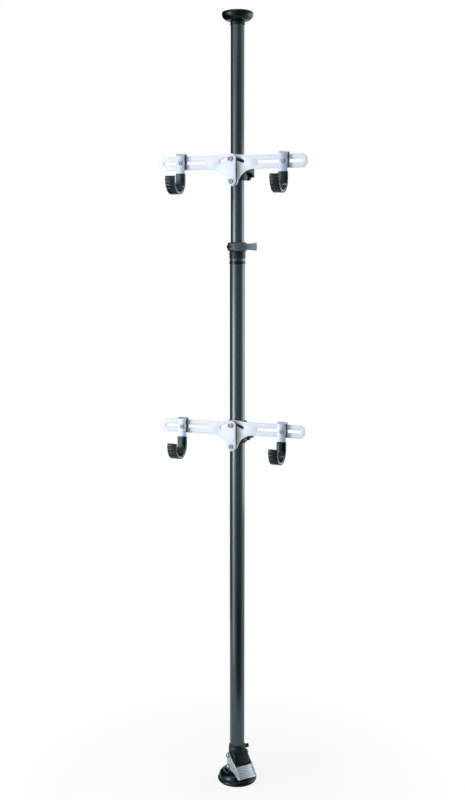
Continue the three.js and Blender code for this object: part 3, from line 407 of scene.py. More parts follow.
class Finish(Tree):
    """A material, its shader and the patterns that can vary it over a piece"""

    def __init__(self, name, tone, roughness, metallic=0.0):
        self.material = bpy.data.materials.new(name)
        self.material.use_nodes = True
        super().__init__(self.material.node_tree)
        self.shader = self.tree.nodes["Principled BSDF"]
        self.set("Base Color", (*tone, 1.0))
        self.set("Roughness", roughness)
        self.set("Metallic", metallic)

    def set(self, key, value):
        self.feed(self.shader.inputs[key], value)

    def place(self, scale=1.0):
        """The point on the piece, stretched by one factor or by three"""
        point = self.add("ShaderNodeTexCoord", {}, {}, "Object")
        stretch = scale if isinstance(scale, tuple) else (scale, scale, scale)
        return self.add("ShaderNodeMapping", {}, {"Vector": point, "Scale": stretch})

    def along(self, axis):
        return self.add("ShaderNodeSeparateXYZ", {}, {"Vector": self.place()}, axis)

    def edge(self, radius):
        """1 along the piece's edges, where a rounded normal leaves the face's own"""
        rounded = self.add("ShaderNodeBevel", {"samples": EDGE_SAMPLES}, {"Radius": radius})
        own = self.add("ShaderNodeNewGeometry", {}, {}, "Normal")
        dot = {"operation": "DOT_PRODUCT"}
        match = self.add("ShaderNodeVectorMath", dot, {0: rounded, 1: own}, "Value")
        return (1.0 - match).between(*EDGE_TURN)

    def noise(self, scale, detail=2.0):
        inputs = {"Vector": self.place(scale), "Scale": 1.0, "Detail": detail}
        inputs["Roughness"] = NOISE_ROUGHNESS
        return self.add("ShaderNodeTexNoise", {}, inputs)

    def grains(self, scale):
        inputs = {"Vector": self.place(scale), "Scale": 1.0}
        return self.add("ShaderNodeTexVoronoi", {"feature": "F1"}, inputs)

    def mix(self, share, *pair):
        """From the first colour to the second, each of them a tone or a signal"""
        first, second = ((*c, 1.0) if isinstance(c, tuple) else c for c in pair)
        inputs = {0: share, 6: first, 7: second}
        return self.add("ShaderNodeMix", {"data_type": "RGBA"}, inputs, 2)

    def done(self, tone, roughness, relief, strength, distance):
        """Feeds the shader and gives the finished material"""
        self.set("Base Color", tone)
        self.set("Roughness", roughness)
        inputs = {"Height": relief, "Strength": strength, "Distance": distance}
        self.set("Normal", self.add("ShaderNodeBump", {}, inputs))
        return self.material


def tones(name):
    return tuple(getattr(bpy.context.scene.tower_finish, name))


def shade(tone, factor):
    """A tone made lighter or darker"""
    return tuple(min(1.0, c * factor) for c in tone)


def anodised_tube():
    """Drawn aluminium, anodised dark: streaks along the tube, rings where mounts have slid"""
    finish = Finish("anodised_tube", tones("tube"), roughness=0.3, metallic=0.85)
    streaks = finish.noise((1400.0, 1400.0, 5.0), detail=4.0)
    clouds = finish.noise((9.0, 9.0, 2.5), detail=3.0)
    rings = finish.noise((3.0, 3.0, 420.0)).between(0.62, 0.78)
    finish.set("Coat Weight", 0.25)
    finish.set("Coat Roughness", 0.12)
    tone = finish.mix(streaks * 0.55 + clouds * 0.35, tones("tube"), tones("tube_light"))
    roughness = 0.20 + streaks * 0.10 + clouds * 0.06 + rings * 0.08
    return finish.done(tone, roughness, streaks + rings * 0.15, strength=0.06, distance=0.0002)


def satin_aluminium():
    """Arms of blasted and anodised plate, brushed along their length, with painted shade along
    their rims
    """
    finish = Finish("satin_aluminium", tones("satin"), roughness=0.5, metallic=0.15)
    brushed = finish.noise((24.0, 900.0, 1900.0), detail=4.0)
    blasted = finish.grains(1600.0)
    clouds = finish.noise(14.0, detail=3.0)
    plain = finish.mix(brushed * 0.5 + clouds * 0.3, tones("satin"), tones("satin_dark"))
    # Painted shade: every rim is darkened towards 0.55 of satin_dark, as an outline of shade along
    # the arms' edges
    tone = finish.mix(finish.edge(0.0012) * 0.8, plain, shade(tones("satin_dark"), 0.55))
    roughness = 0.42 + brushed * 0.16 + clouds * 0.08
    return finish.done(tone, roughness, brushed * 0.7 + blasted * 0.3, 0.10, 0.0002)


def brushed_strap():
    """Bent steel strip, brushed along its bend and worn bright at its edges"""
    finish = Finish("brushed_strap", tones("strap"), roughness=0.45, metallic=0.5)
    brushed = finish.noise((2200.0, 40.0, 40.0), detail=4.0)
    scuffs = finish.noise((90.0, 60.0, 60.0), detail=5.0).between(0.55, 0.75)
    plain = finish.mix(brushed, tones("strap"), shade(tones("strap"), 1.25))
    tone = finish.mix(finish.edge(0.0006) * scuffs, plain, shade(tones("strap"), 1.7))
    return finish.done(tone, 0.30 + brushed * 0.14 + scuffs * 0.12, brushed, 0.12, 0.0002)


def zinc_steel(name, tone, roughness=0.24):
    """Plated steel of bolts and brackets, mottled by the plating"""
    finish = Finish(name, tone, roughness=0.35, metallic=0.9)
    mottle = finish.noise(260.0, detail=4.0)
    fine = finish.noise(2400.0)
    mottled = finish.mix(mottle, shade(tone, 0.72), tone)
    return finish.done(mottled, roughness + mottle * 0.18 + fine * 0.06, fine, 0.08, 0.0001)


def black_rubber():
    """Moulded rubber with a soft gloss: fine pores, and a dull bloom in places"""
    finish = Finish("black_rubber", tones("rubber"), roughness=0.2)
    finish.set("Specular IOR Level", 0.32)
    finish.set("Specular Tint", GLOSS_TINT)
    bloom = finish.noise(34.0, detail=5.0)
    pores = finish.grains(2600.0)
    tone = finish.mix(bloom.between(0.45, 0.8), tones("rubber"), shade(tones("rubber"), 2.0))
    return finish.done(tone, 0.14 + bloom * 0.12, pores * 0.4 + bloom * 0.6, 0.06, 0.0003)


def moulded_plastic(name, tone, roughness):
    """Injection-moulded plastic with a spark-eroded grain"""
    finish = Finish(name, tone, roughness)
    finish.set("Specular IOR Level", 0.38)
    finish.set("Specular Tint", GLOSS_TINT)
    wear = finish.noise(60.0, detail=5.0)
    mottled = finish.mix(wear.between(0.5, 0.8), tone, shade(tone, 1.7))
    grain = finish.grains(2200.0)
    return finish.done(mottled, (roughness - 0.08) + wear * 0.16, grain, 0.16, 0.0002)


def lever_plastic_with_painted_sheen():
    """The collar lever's grey plastic, mottled, with a painted sheen that grows pale towards its
    end, where it is also smoother, and painted highlights along its edges
    """
    finish = Finish("grey_plastic", tones("lever"), roughness=0.3)
    finish.set("Specular Tint", GLOSS_TINT)
    wear = finish.noise(60.0, detail=5.0)
    # Painted sheen: towards the lever's end the colour turns to the pale grip tone, standing in for
    # the light that the end reflects; there the plastic is also smoother
    grip = (finish.along("X") + wear * 0.012).between(0.028, 0.062)
    mottled = finish.mix(wear.between(0.5, 0.8), tones("lever"), shade(tones("lever"), 1.3))
    # Painted highlight: the lever's edges are lightened towards the grip tone
    painted_edge_highlight = finish.mix(finish.edge(0.0008) * 0.7, mottled, tones("grip"))
    tone = finish.mix(grip, painted_edge_highlight, tones("grip"))
    roughness = 0.34 + wear * 0.12 - grip * 0.14
    return finish.done(tone, roughness, finish.grains(2200.0), strength=0.12, distance=0.0002)


def coated_casting():
    """Die-cast metal under a black powder coat, rubbed bare here and there at its edges"""
    finish = Finish("coated_casting", tones("cast"), roughness=0.42, metallic=0.1)
    finish.set("Specular Tint", GLOSS_TINT)
    peel = finish.noise(1100.0, detail=1.0)
    wear = finish.noise(48.0, detail=5.0)
    plain = finish.mix(wear.between(0.52, 0.82), tones("cast"), shade(tones("cast"), 2.2))
    rubbed = finish.edge(0.0007) * wear.between(0.45, 0.6)
    tone = finish.mix(rubbed, plain, shade(tones("cast"), 9.0))
    return finish.done(tone, 0.34 + wear * 0.18, peel, strength=0.14, distance=0.0003)


def satin_pedal():
    """Pressed pedal plate, tumbled, with light scuffs from shoes and painted highlights along its
    edges
    """
    finish = Finish("satin_pedal", tones("pedal"), roughness=0.4, metallic=0.8)
    tumbled = finish.noise(900.0, detail=3.0)
    scuffs = finish.noise((220.0, 60.0, 60.0), detail=5.0).between(0.5, 0.75)
    clouds = finish.noise(40.0, detail=3.0)
    scuffed = shade(tones("pedal"), 0.74)
    plain = finish.mix(scuffs * 0.25 + clouds * 0.2, tones("pedal"), scuffed)
    # Painted highlight: every edge of the pedal is lightened towards 1.35 of its tone
    tone = finish.mix(finish.edge(0.0007) * 0.8, plain, shade(tones("pedal"), 1.35))
    roughness = 0.30 + tumbled * 0.12 + scuffs * 0.10
    return finish.done(tone, roughness, tumbled + scuffs * 0.3, strength=0.08, distance=0.0002)


# Each look's slot in the record, and what makes its material
LOOKS = {
    "tube": ("tube", anodised_tube),
    "satin": ("satin_aluminium", satin_aluminium),
    "strap": ("steel", brushed_strap),
    "bolt": ("bolts", lambda: zinc_steel("bolt_steel", tones("bolt"), 0.46)),
    "bright_bolt": ("bolts", lambda: zinc_steel("polished_steel", tones("bolt"))),
    "bracket": ("steel", lambda: zinc_steel("bracket_steel", tones("strap"))),
    "dark_bolt": ("bolts", lambda: zinc_steel("blackened_steel", tones("blackened"))),
    "rubber": ("rubber", black_rubber),
    "plastic": ("black_plastic", lambda: moulded_plastic("black_plastic", tones("plastic"), 0.46)),
    "lever": ("grey_lever", lever_plastic_with_painted_sheen),
    "cast": ("black_cast", coated_casting),
    "pedal": ("satin_aluminium", satin_pedal),
}
made_finishes = {}


def finish_of(look):
    if look not in made_finishes:
        made_finishes[look] = LOOKS[look][1]()
    return made_finishes[look]


# Modelling
def deselect():
    if bpy.context.mode != "OBJECT":
        bpy.ops.object.mode_set(mode="OBJECT")
    bpy.ops.object.select_all(action="DESELECT")


def work_on(piece):
    deselect()
    piece.select_set(True)
    bpy.context.view_layer.objects.active = piece


def new_piece(name):
    """A plane whose corners are deleted, so that the piece starts empty in edit mode"""
    deselect()
    bpy.ops.mesh.primitive_plane_add(size=1.0)
    piece = bpy.context.object
    piece.name = name
    bpy.ops.object.mode_set(mode="EDIT")
    bpy.ops.mesh.delete(type="VERT")
    return piece


def draw_chain(points, closed):
    """Edges through the points, extruded vertex by vertex from a plane merged to a point"""
    bpy.ops.mesh.select_all(action="DESELECT")
    bpy.ops.mesh.primitive_plane_add(size=1.0)
    bpy.ops.mesh.merge(type="CENTER")
    bpy.ops.transform.translate(value=points[0])
    ends = points[1:] + points[:1] if closed else points[1:]
    for start, end in zip(points, ends):
        bpy.ops.mesh.extrude_vertices_move(TRANSFORM_OT_translate={"value": end - start})


def merge_all():
    bpy.ops.mesh.select_all(action="SELECT")
    bpy.ops.mesh.remove_doubles(threshold=WELD)
    bpy.ops.mesh.normals_make_consistent(inside=False)


def select_faces(piece, test):
    """Selects the faces whose centre and normal pass the test"""
    mesh = bmesh.from_edit_mesh(piece.data)
    for face in mesh.faces:
        face.select_set(False)
    for face in mesh.faces:
        if test(face.calc_center_median(), face.normal):
            face.select_set(True)
    mesh.select_flush(True)
    bmesh.update_edit_mesh(piece.data)


def arc(x, y, radius, start, end, steps):
    turns = (start + (end - start) / steps * i for i in range(steps + 1))
    return [(x + radius * math.cos(turn), y + radius * math.sin(turn)) for turn in turns]


def circle(x, y, radius):
    return arc(x, y, radius, 0, 4 * QUARTER, BOLT_STEPS)[1:]


def round_corners(points, radius, steps=CORNER_STEPS, closed=True):
    """The outline with each corner swapped for an arc, as large as its two sides allow"""
    result = []
    for i, point in enumerate(points):
        if not closed and i in (0, len(points) - 1):
            result.append(point)
            continue
        corner = Vector(point)
        before = Vector(points[i - 1]) - corner
        after = Vector(points[(i + 1) % len(points)]) - corner
        half = before.angle(after) / 2
        room = TRIM_SHARE * min(before.length, after.length)
        trim = min(radius / math.tan(half), room)
        before.normalize()
        after.normalize()
        centre = corner + (before + after).normalized() * (trim / math.cos(half))
        start = corner + before * trim - centre
        end = (corner + after * trim - centre).normalized()
        reach = start.length
        start.normalize()
        result += [tuple(centre + start.slerp(end, k / steps) * reach) for k in range(steps + 1)]
    return result


def round_rim(piece, test, edge):
    """Rounds the rim of the tested flat faces by two insets, each raised further out"""
    select_faces(piece, test)
    step = math.sqrt(0.5)
    bpy.ops.mesh.inset(thickness=edge * (1 - step), depth=edge * step)
    bpy.ops.mesh.inset(thickness=edge * step, depth=edge * (1 - step))


def plate(name, loops, thickness, edge, field=None):
    """A flat piece from z = 0 up, from closed outlines, of which the first is the outside.
    A field is the width of a border and the depth of the face inside it."""
    piece = new_piece(name)
    for loop in loops:
        draw_chain([Vector((x, y, edge)) for x, y in loop], closed=True)
    merge_all()
    bpy.ops.mesh.fill(use_beauty=True)
    bpy.ops.mesh.extrude_region_move(TRANSFORM_OT_translate={"value": (0, 0, thickness - 2 * edge)})
    merge_all()
    middle = thickness / 2
    round_rim(piece, lambda centre, normal: centre.z > middle and normal.z > FACING, edge)
    if field:
        bpy.ops.mesh.inset(thickness=field[0])
        bpy.ops.mesh.inset(thickness=field[1], depth=-field[1])
    round_rim(piece, lambda centre, normal: centre.z < middle and normal.z < -FACING, edge)
    bpy.ops.object.mode_set(mode="OBJECT")
    return piece


def turned(name, profile, steps=ROUND_STEPS):
    """A profile of radius and height, spun round the upright axis, open where it meets the axis"""
    piece = new_piece(name)
    draw_chain([Vector((r, 0, z)) for r, z in profile], closed=profile[0][0] > 0)
    bpy.ops.mesh.select_all(action="SELECT")
    bpy.ops.mesh.remove_doubles(threshold=WELD)
    bpy.ops.mesh.spin(steps=steps, angle=2 * math.pi, center=(0, 0, 0), axis=(0, 0, 1))
    merge_all()
    bpy.ops.object.mode_set(mode="OBJECT")
    return piece


def seat(piece, turn=(0, 0, 0), place=(0, 0, 0)):
    """Turns and places a piece, and puts that into its mesh"""
    work_on(piece)
    piece.rotation_euler = Euler(turn)
    piece.location = place
    bpy.ops.object.transform_apply(location=True, rotation=True, scale=True)
    return piece


def block(name, x, y, z, edge):
    """A box between the ends given for x, y and z, with rounded edges"""
    outline = [(x[0], y[0]), (x[1], y[0]), (x[1], y[1]), (x[0], y[1])]
    piece = plate(name, [round_corners(outline, edge, steps=3)], z[1] - z[0], edge / 2)
    return seat(piece, place=(0, 0, z[0]))


def spline(points, steps):
    """Points along a curve through the given ones"""
    last = len(points) - 1
    result = []
    for k in range(steps + 1):
        at = last * k / steps
        i = min(int(at), last - 1)
        t = at - i
        p0, p1, p2, p3 = (Vector(points[min(max(n, 0), last)]) for n in (i - 1, i, i + 1, i + 2))
        start, end = (p2 - p0) / 2, (p3 - p1) / 2
        cube = 2 * (p1 - p2) + start + end
        square = 3 * (p2 - p1) - 2 * start - end
        result.append(cube * t**3 + square * t**2 + start * t + p1)
    return result


def strip_outline(path, thickness, steps=40):
    """A curve through the path's points, as the outline of a strip"""
    middle = spline(path, steps)
    outer, inner = [], []
    for i, point in enumerate(middle):
        along = (middle[min(i + 1, steps)] - middle[max(i - 1, 0)]).normalized()
        side = Vector((-along.y, along.x)) * (thickness / 2)
        outer.append(tuple(point + side))
        inner.append(tuple(point - side))
    return outer + inner[::-1]


def upright_plate(name, loops, front, thickness, edge):
    """An outline in X and Z, whose front face lies at y = front"""
    piece = plate(name, loops, thickness, edge)
    return seat(piece, turn=(QUARTER, 0, 0), place=(0, front + thickness, 0))


def side_plate(name, loops, start, thickness, edge):
    """An outline in Y and Z, filled from x = start on"""
    piece = plate(name, loops, thickness, edge)
    return seat(piece, turn=(QUARTER, 0, QUARTER), place=(start, 0, 0))


def mirror_copy(piece, name):
    """A copy on the other side of x = 0, with its faces turned out again"""
    twin = copy_of(piece, name)
    work_on(twin)
    twin.scale = (-1, 1, 1)
    bpy.ops.object.transform_apply(location=True, rotation=True, scale=True)
    bpy.ops.object.mode_set(mode="EDIT")
    merge_all()
    bpy.ops.object.mode_set(mode="OBJECT")
    return twin


def copy_of(piece, name, place=(0, 0, 0)):
    twin = piece.copy()
    twin.data = piece.data.copy()
    twin.name = name
    bpy.context.scene.collection.objects.link(twin)
    return seat(twin, place=place)


def discard(*models):
    for model in models:
        bpy.data.objects.remove(model)


def combine(piece, tool, operation):
    """Joins, cuts or crosses two shapes, and deletes the tool"""
    modify(piece, "BOOLEAN", operation=operation, object=tool, solver="EXACT")
    discard(tool)
    return piece


def fuse(piece, *tools):
    for tool in tools:
        combine(piece, tool, "UNION")
    return piece


def cut(piece, *tools):
    for tool in tools:
        combine(piece, tool, "DIFFERENCE")
    return piece


def gather(piece, *others):
    """Joins parts that stand in each other into one piece, each as its own closed shell"""
    work_on(piece)
    for other in others:
        other.select_set(True)
    bpy.ops.object.join()
    return piece


def modify(piece, kind, **settings):
    work_on(piece)
    modifier = piece.modifiers.new(kind.lower(), kind)
    for key, value in settings.items():
        setattr(modifier, key, value)
    bpy.ops.object.modifier_apply(modifier=modifier.name)
    return piece


def rod(name, radius, start, end, edge, steps=BOLT_STEPS):
    """An upright round bar with rounded ends"""
    profile = [(0, start), (radius, start), (radius, end), (0, end)]
    return turned(name, round_corners(profile, edge, closed=False), steps)


def hex_rod(name, radius, start, end):
    deselect()
    place = (0, 0, (start + end) / 2)
    bpy.ops.mesh.primitive_cylinder_add(
        vertices=6, radius=radius, depth=end - start, location=place
    )
    piece = bpy.context.object
    piece.name = name
    return seat(piece, place=piece.location)


def rod_y(name, radius, start, end, x, z, edge, steps=BOLT_STEPS):
    piece = rod(name, radius, start, end, edge, steps)
    return seat(piece, turn=(-QUARTER, 0, 0), place=(x, 0, z))


def rod_x(name, radius, start, end, y, z, edge, steps=BOLT_STEPS):
    piece = rod(name, radius, start, end, edge, steps)
    return seat(piece, turn=(0, QUARTER, 0), place=(0, y, z))


def draw_bolt(name, sizes, reach, gap):
    """A bolt along +Y with a hexagon head and an upright eye at the origin"""
    half = sizes.eye_height / 2
    piece = rod(name, sizes.eye, -half, half, gap * 2)
    fuse(piece, rod_y("shank", sizes.shank, 0, reach + sizes.head_height / 2, 0, 0, gap))
    head = hex_rod("head", sizes.head, reach, reach + sizes.head_height)
    fuse(piece, seat(head, turn=(-QUARTER, 0, 0)))
    return cut(piece, rod("pin_hole", sizes.pin + gap / 2, -2 * half, 2 * half, gap / 4))


def pin(name, sizes, height, gap):
    """An upright pin about the origin, with a head at both ends"""
    end = height / 2 + gap
    tip = end + sizes.pin_head_height
    head = sizes.pin_head
    half = [(sizes.pin, end), (head, end), (head, tip - gap), (head - gap, tip), (0, tip)]
    profile = [(r, -z) for r, z in reversed(half)] + half
    return turned(name, profile, BOLT_STEPS)


def cam_lever(name, blade, radius, height, sizes, gap):
    """A blade joined to a fork of two cams about the origin, with room for the bolt's eye"""
    fork = rod(f"{name}_fork", radius, -height / 2, height / 2, radius * FORK_ROUND)
    half = sizes.eye_height / 2 + gap
    cut(fork, rod("fork_gap", radius * 2, -half, half, gap / 4))
    fuse(blade, fork)
    cut(blade, rod("eye_room", max(sizes.eye, radius) + gap, -half, half, gap / 4))
    cut(blade, rod("pin_hole", sizes.pin + gap, -height, height, gap / 4))
    blade.name = name
    return blade


def lever_blade(name, path, edge, thickness, cam, side_on, bevel):
    """A strip bent along a path and cut to an edge, from the cam's middle"""
    outline = strip_outline([(x - cam[0], y - cam[1]) for x, y in path], thickness)
    half = MASK_MARGIN * max(z for _, z in edge)
    strip = seat(plate(name, [outline], 2 * half, bevel / 10), place=(0, 0, -half))
    shift = cam[1] if side_on else cam[0]
    rim = [(reach - shift, z) for reach, z in edge]
    rim = round_corners(rim + [(reach, -z) for reach, z in reversed(rim)], half / 2, steps=6)
    span = 4 * max(abs(reach) for reach, _ in rim)
    stand = side_plate if side_on else upright_plate
    combine(strip, stand("mask", [rim], -span, 2 * span, bevel / 10), "INTERSECT")
    settings = {"segments": 3, "limit_method": "ANGLE", "angle_limit": BEVEL_ANGLE}
    return modify(strip, "BEVEL", width=bevel, **settings)


def bolt(name, radius, end, head_radius, head_height, nut=None):
    """A bolt along -Z with its button head's top at z = 0, a hexagon socket and perhaps a nut"""
    shoulder = -head_height * HEAD_CROWN
    profile = [(0, end), (radius, end), (radius, -head_height), (head_radius, -head_height)]
    profile += [(head_radius, shoulder), (head_radius * HEAD_FLAT, 0), (0, 0)]
    profile = round_corners(profile, head_height * HEAD_ROUND, closed=False)
    piece = turned(name, profile, BOLT_STEPS)
    socket_end = -head_height * SOCKET_DEPTH
    cut(piece, hex_rod("socket", head_radius * SOCKET_RADIUS, socket_end, head_height))
    if nut:
        nut_radius, nut_low, nut_high = nut
        fuse(piece, hex_rod("nut", nut_radius, nut_low, nut_high))
    return piece


def dress(piece, look, body, *nodes):
    """Gives a finished piece its material, smooth shading and body, and hides the nodes it stands
    for
    """
    work_on(piece)
    bpy.ops.object.shade_smooth_by_angle(angle=SMOOTH_ANGLE)
    piece.data.materials.clear()
    piece.data.materials.append(finish_of(look))
    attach(piece, body)
    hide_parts(*nodes)
    return piece


# Pieces of the poles
def sleeve(name, node, inner, lip, steps):
    """A straight sleeve as wide and as long as the node's solid, rounded at its rims"""
    outer = high(node).x
    bottom, top = ends(node)
    profile = [(inner, bottom), (outer, bottom), (outer, top), (inner, top)]
    return turned(name, round_corners(profile, lip, steps))


class TOWER_OT_tubes(bpy.types.Operator):
    """Models the two drawn tubes of the telescope and the bush on the inner one"""

    bl_idname = "tower.tubes"
    bl_label = "Tubes"

    def execute(self, context):
        pole = context.scene.tower_pole
        for half, wall in (("lower", pole.lower_wall), ("upper", pole.upper_wall)):
            node = f"{half}_tube"
            piece = sleeve(f"{node}_shell", node, high(node).x - wall, pole.end_round, steps=2)
            dress(piece, "tube", f"pole_{half}", node)
        self.bush(pole, context.scene.tower_hook.gap)
        return {"FINISHED"}

    def bush(self, pole, gap):
        node = "upper_tube_bush"
        bottom, end = ends(node)
        top = low("upper_tube").z - gap
        flange = high(node).x
        plug = high("upper_tube").x - pole.upper_wall - gap
        inner = plug - pole.upper_wall
        profile = [(inner, bottom), (flange, bottom), (flange, top), (plug, top)]
        profile += [(plug, end), (inner, end)]
        piece = turned("end_bush", round_corners(profile, pole.end_round, steps=2))
        dress(piece, "plastic", "pole_upper", node)


class TOWER_OT_bands(bpy.types.Operator):
    """Models the sleeve under the collar and the band below it"""

    bl_idname = "tower.bands"
    bl_label = "Sleeve and band"

    def execute(self, context):
        gap = context.scene.tower_hook.gap
        inner = high("lower_tube").x + gap / 2
        for node, look in (("collar_sleeve", "plastic"), ("tube_band", "rubber")):
            piece = sleeve(f"{node}_moulded", node, inner, gap, steps=3)
            dress(piece, look, "pole_lower", node)
        return {"FINISHED"}


class TOWER_OT_cap(bpy.types.Operator):
    """Models the ceiling pad and the plug that carries it"""

    bl_idname = "tower.cap"
    bl_label = "Ceiling cap"

    def execute(self, context):
        pole = context.scene.tower_pole
        gap = context.scene.tower_hook.gap
        self.pad(pole, gap)
        self.plug(pole, gap)
        return {"FINISHED"}

    def pad(self, pole, gap):
        radius = high("cap_pad").x
        base, top = ends("cap_pad")
        neck = high("cap_plug").x
        rim = pole.rim_round
        brim = radius - rim
        rim_bottom = top - pole.rim_height
        bowl = [
            (neck + across * (radius - neck), rim_bottom + up * (rim_bottom - base))
            for across, up in arc(0, 0, 1, -QUARTER, 0, 18)
        ]
        seam = [
            (radius, rim_bottom + gap),
            (radius - gap, rim_bottom + 2 * gap),
            (radius, rim_bottom + 3 * gap),
        ]
        over = arc(brim, top - rim, rim, 0, QUARTER, CORNER_STEPS)
        groove = [(brim - rim, top), (brim - rim - gap, top - gap), (brim - rim - 2 * gap, top)]
        profile = [(0, base + gap), *bowl, *seam, *over, *groove, (0, top)]
        dress(turned("ceiling_pad", profile), "rubber", "pole_upper", "cap_pad")

    def plug(self, pole, gap):
        neck = high("cap_plug").x
        bottom, top = low("cap_plug").z, low("cap_pad").z
        shoulder = high("upper_tube").z + gap
        plug = high("upper_tube").x - pole.upper_wall - gap
        band = shoulder + (top - shoulder) / 3
        profile = [
            (0, bottom),
            (plug, bottom),
            (plug, shoulder),
            (neck, shoulder),
            (neck, band),
            (neck - 2 * gap, band + gap),
            (neck - 2 * gap, top - gap),
            (0, top - gap),
        ]
        piece = turned("ceiling_plug", round_corners(profile, 3 * gap, closed=False))
        dress(piece, "plastic", "pole_upper", "cap_plug")


# Pieces of the collar
class TOWER_OT_collar(bpy.types.Operator):
    """Models the locking collar, its lever and the bolt that the lever draws"""

    bl_idname = "tower.collar"
    bl_label = "Collar"

    def execute(self, context):
        sizes = context.scene.tower_collar
        bolts = context.scene.tower_draw_bolt
        gap = context.scene.tower_hook.gap
        casting, radius = self.casting(sizes, bolts, gap)
        turn = (0, 0, sizes.turn)
        seat(casting, turn=turn, place=(0, 0, low("collar").z))
        dress(casting, "cast", "pole_lower", "collar")
        reach = sizes.ear_half + gap + sizes.cam_radius
        place = Vector(joint("collar_lever_hinge")["pos_m"])
        cam = place.copy()
        cam.rotate(Euler((0, 0, -sizes.turn)))
        path = [(x * radius, y * radius) for x, y in COLLAR_LEVER_PATH]
        edge = [(x * radius, z * radius) for x, z in COLLAR_LEVER_EDGE]
        blade = lever_blade("collar_blade", path, edge, sizes.lever, cam, False, 4 * gap)
        lever = cam_lever("collar_lever_made", blade, sizes.cam_radius, sizes.fork, bolts, gap)
        dress(seat(lever, turn=turn, place=place), "lever", "collar_lever", "collar_lever")
        drawn = draw_bolt("collar_bolt", bolts, reach + sizes.ear_half + gap, gap)
        seat(drawn, turn=(0, 0, sizes.turn + sizes.ear_turn - 2 * QUARTER), place=place)
        dress(drawn, "dark_bolt", "pole_lower", "collar_draw_bolt")
        axle = seat(pin("collar_pin", bolts, sizes.fork, gap), place=place)
        dress(axle, "dark_bolt", "pole_lower", "collar_lever_pin")
        return {"FINISHED"}

    def casting(self, sizes, bolts, gap):
        height = high("collar").z - low("collar").z
        inner = high("lower_tube").x + gap
        outer = inner + sizes.wall
        chamfer = sizes.chamfer
        side = [(inner, 0), (outer - chamfer, 0), (outer, chamfer)]
        profile = side + [(reach, height - z) for reach, z in reversed(side)]
        ring = turned("collar_casting", round_corners(profile, chamfer / 3, steps=2))
        half, slit = sizes.ear_half, sizes.slit / 2
        ear = inner + sizes.wall / 2, sizes.ear_reach
        ear_z = sizes.ear_margin, height - sizes.ear_margin
        cam_room = rod("cam_room", sizes.cam_radius + gap, -height, 2 * height, gap)
        cam_place = (sizes.bolt_reach, half + gap + sizes.cam_radius, 0)
        bolt_line = sizes.bolt_reach, height / 2, gap / 4
        head_end = -half - 2 * bolts.head_height
        fuse(ring, block("ears", ear, (-half, half), ear_z, 3 * gap))
        slit_z = -height, 2 * height
        cut(
            ring,
            block("slit", (0, 2 * sizes.ear_reach), (-slit, slit), slit_z, gap / 2),
            rod_y("hole", bolts.shank + gap, -2 * half, 2 * half, *bolt_line),
            rod_y("head_room", bolts.head + gap, head_end, -half, *bolt_line),
            seat(cam_room, place=cam_place),
        )
        return seat(ring, turn=(0, 0, sizes.ear_turn)), outer


# Pieces of a mount
def arm_outline(sizes):
    top = sizes.bar_lift + sizes.tip_radius
    fillet_lift = sizes.bar_lift - sizes.tip_radius - sizes.fillet
    fillet_reach = math.sqrt((sizes.pivot_lobe + sizes.fillet) ** 2 - fillet_lift**2)
    contact = math.atan2(fillet_lift, fillet_reach)
    rise = top - sizes.lock_lift
    span = math.hypot(sizes.shoulder, rise)
    crown = math.acos(sizes.lock_lobe / span) + math.atan2(rise, sizes.shoulder)
    tip = sizes.reach - sizes.tip_radius
    half = 2 * QUARTER
    return [
        *arc(0, 0, sizes.pivot_lobe, contact, -half, 20),
        *arc(0, sizes.lock_lift, sizes.lock_lobe, half, crown, 14),
        (sizes.shoulder, top),
        *arc(tip, sizes.bar_lift, sizes.tip_radius, QUARTER, -QUARTER, 24),
        *arc(fillet_reach, fillet_lift, sizes.fillet, QUARTER, contact + half, 14),
    ]


def arm_slots(sizes, clearance):
    half = sizes.slot_width / 2
    tip = sizes.reach - sizes.tip_radius
    long_slot = [
        *arc(tip, sizes.bar_lift, half, -QUARTER, QUARTER, 12),
        *arc(sizes.slot_start + half, sizes.bar_lift, half, QUARTER, 3 * QUARTER, 12),
    ]
    radius = sizes.bolt_radius + clearance
    end = QUARTER - sizes.tilt
    end_x, end_y = sizes.lock_lift * math.cos(end), sizes.lock_lift * math.sin(end)
    curved_slot = [
        *arc(0, sizes.lock_lift, radius, QUARTER, 3 * QUARTER, 8),
        *arc(0, 0, sizes.lock_lift - radius, QUARTER, end, 8)[1:],
        *arc(end_x, end_y, radius, end - 2 * QUARTER, end, 8)[1:],
        *arc(0, 0, sizes.lock_lift + radius, end, QUARTER, 8)[1:-1],
    ]
    return long_slot, curved_slot


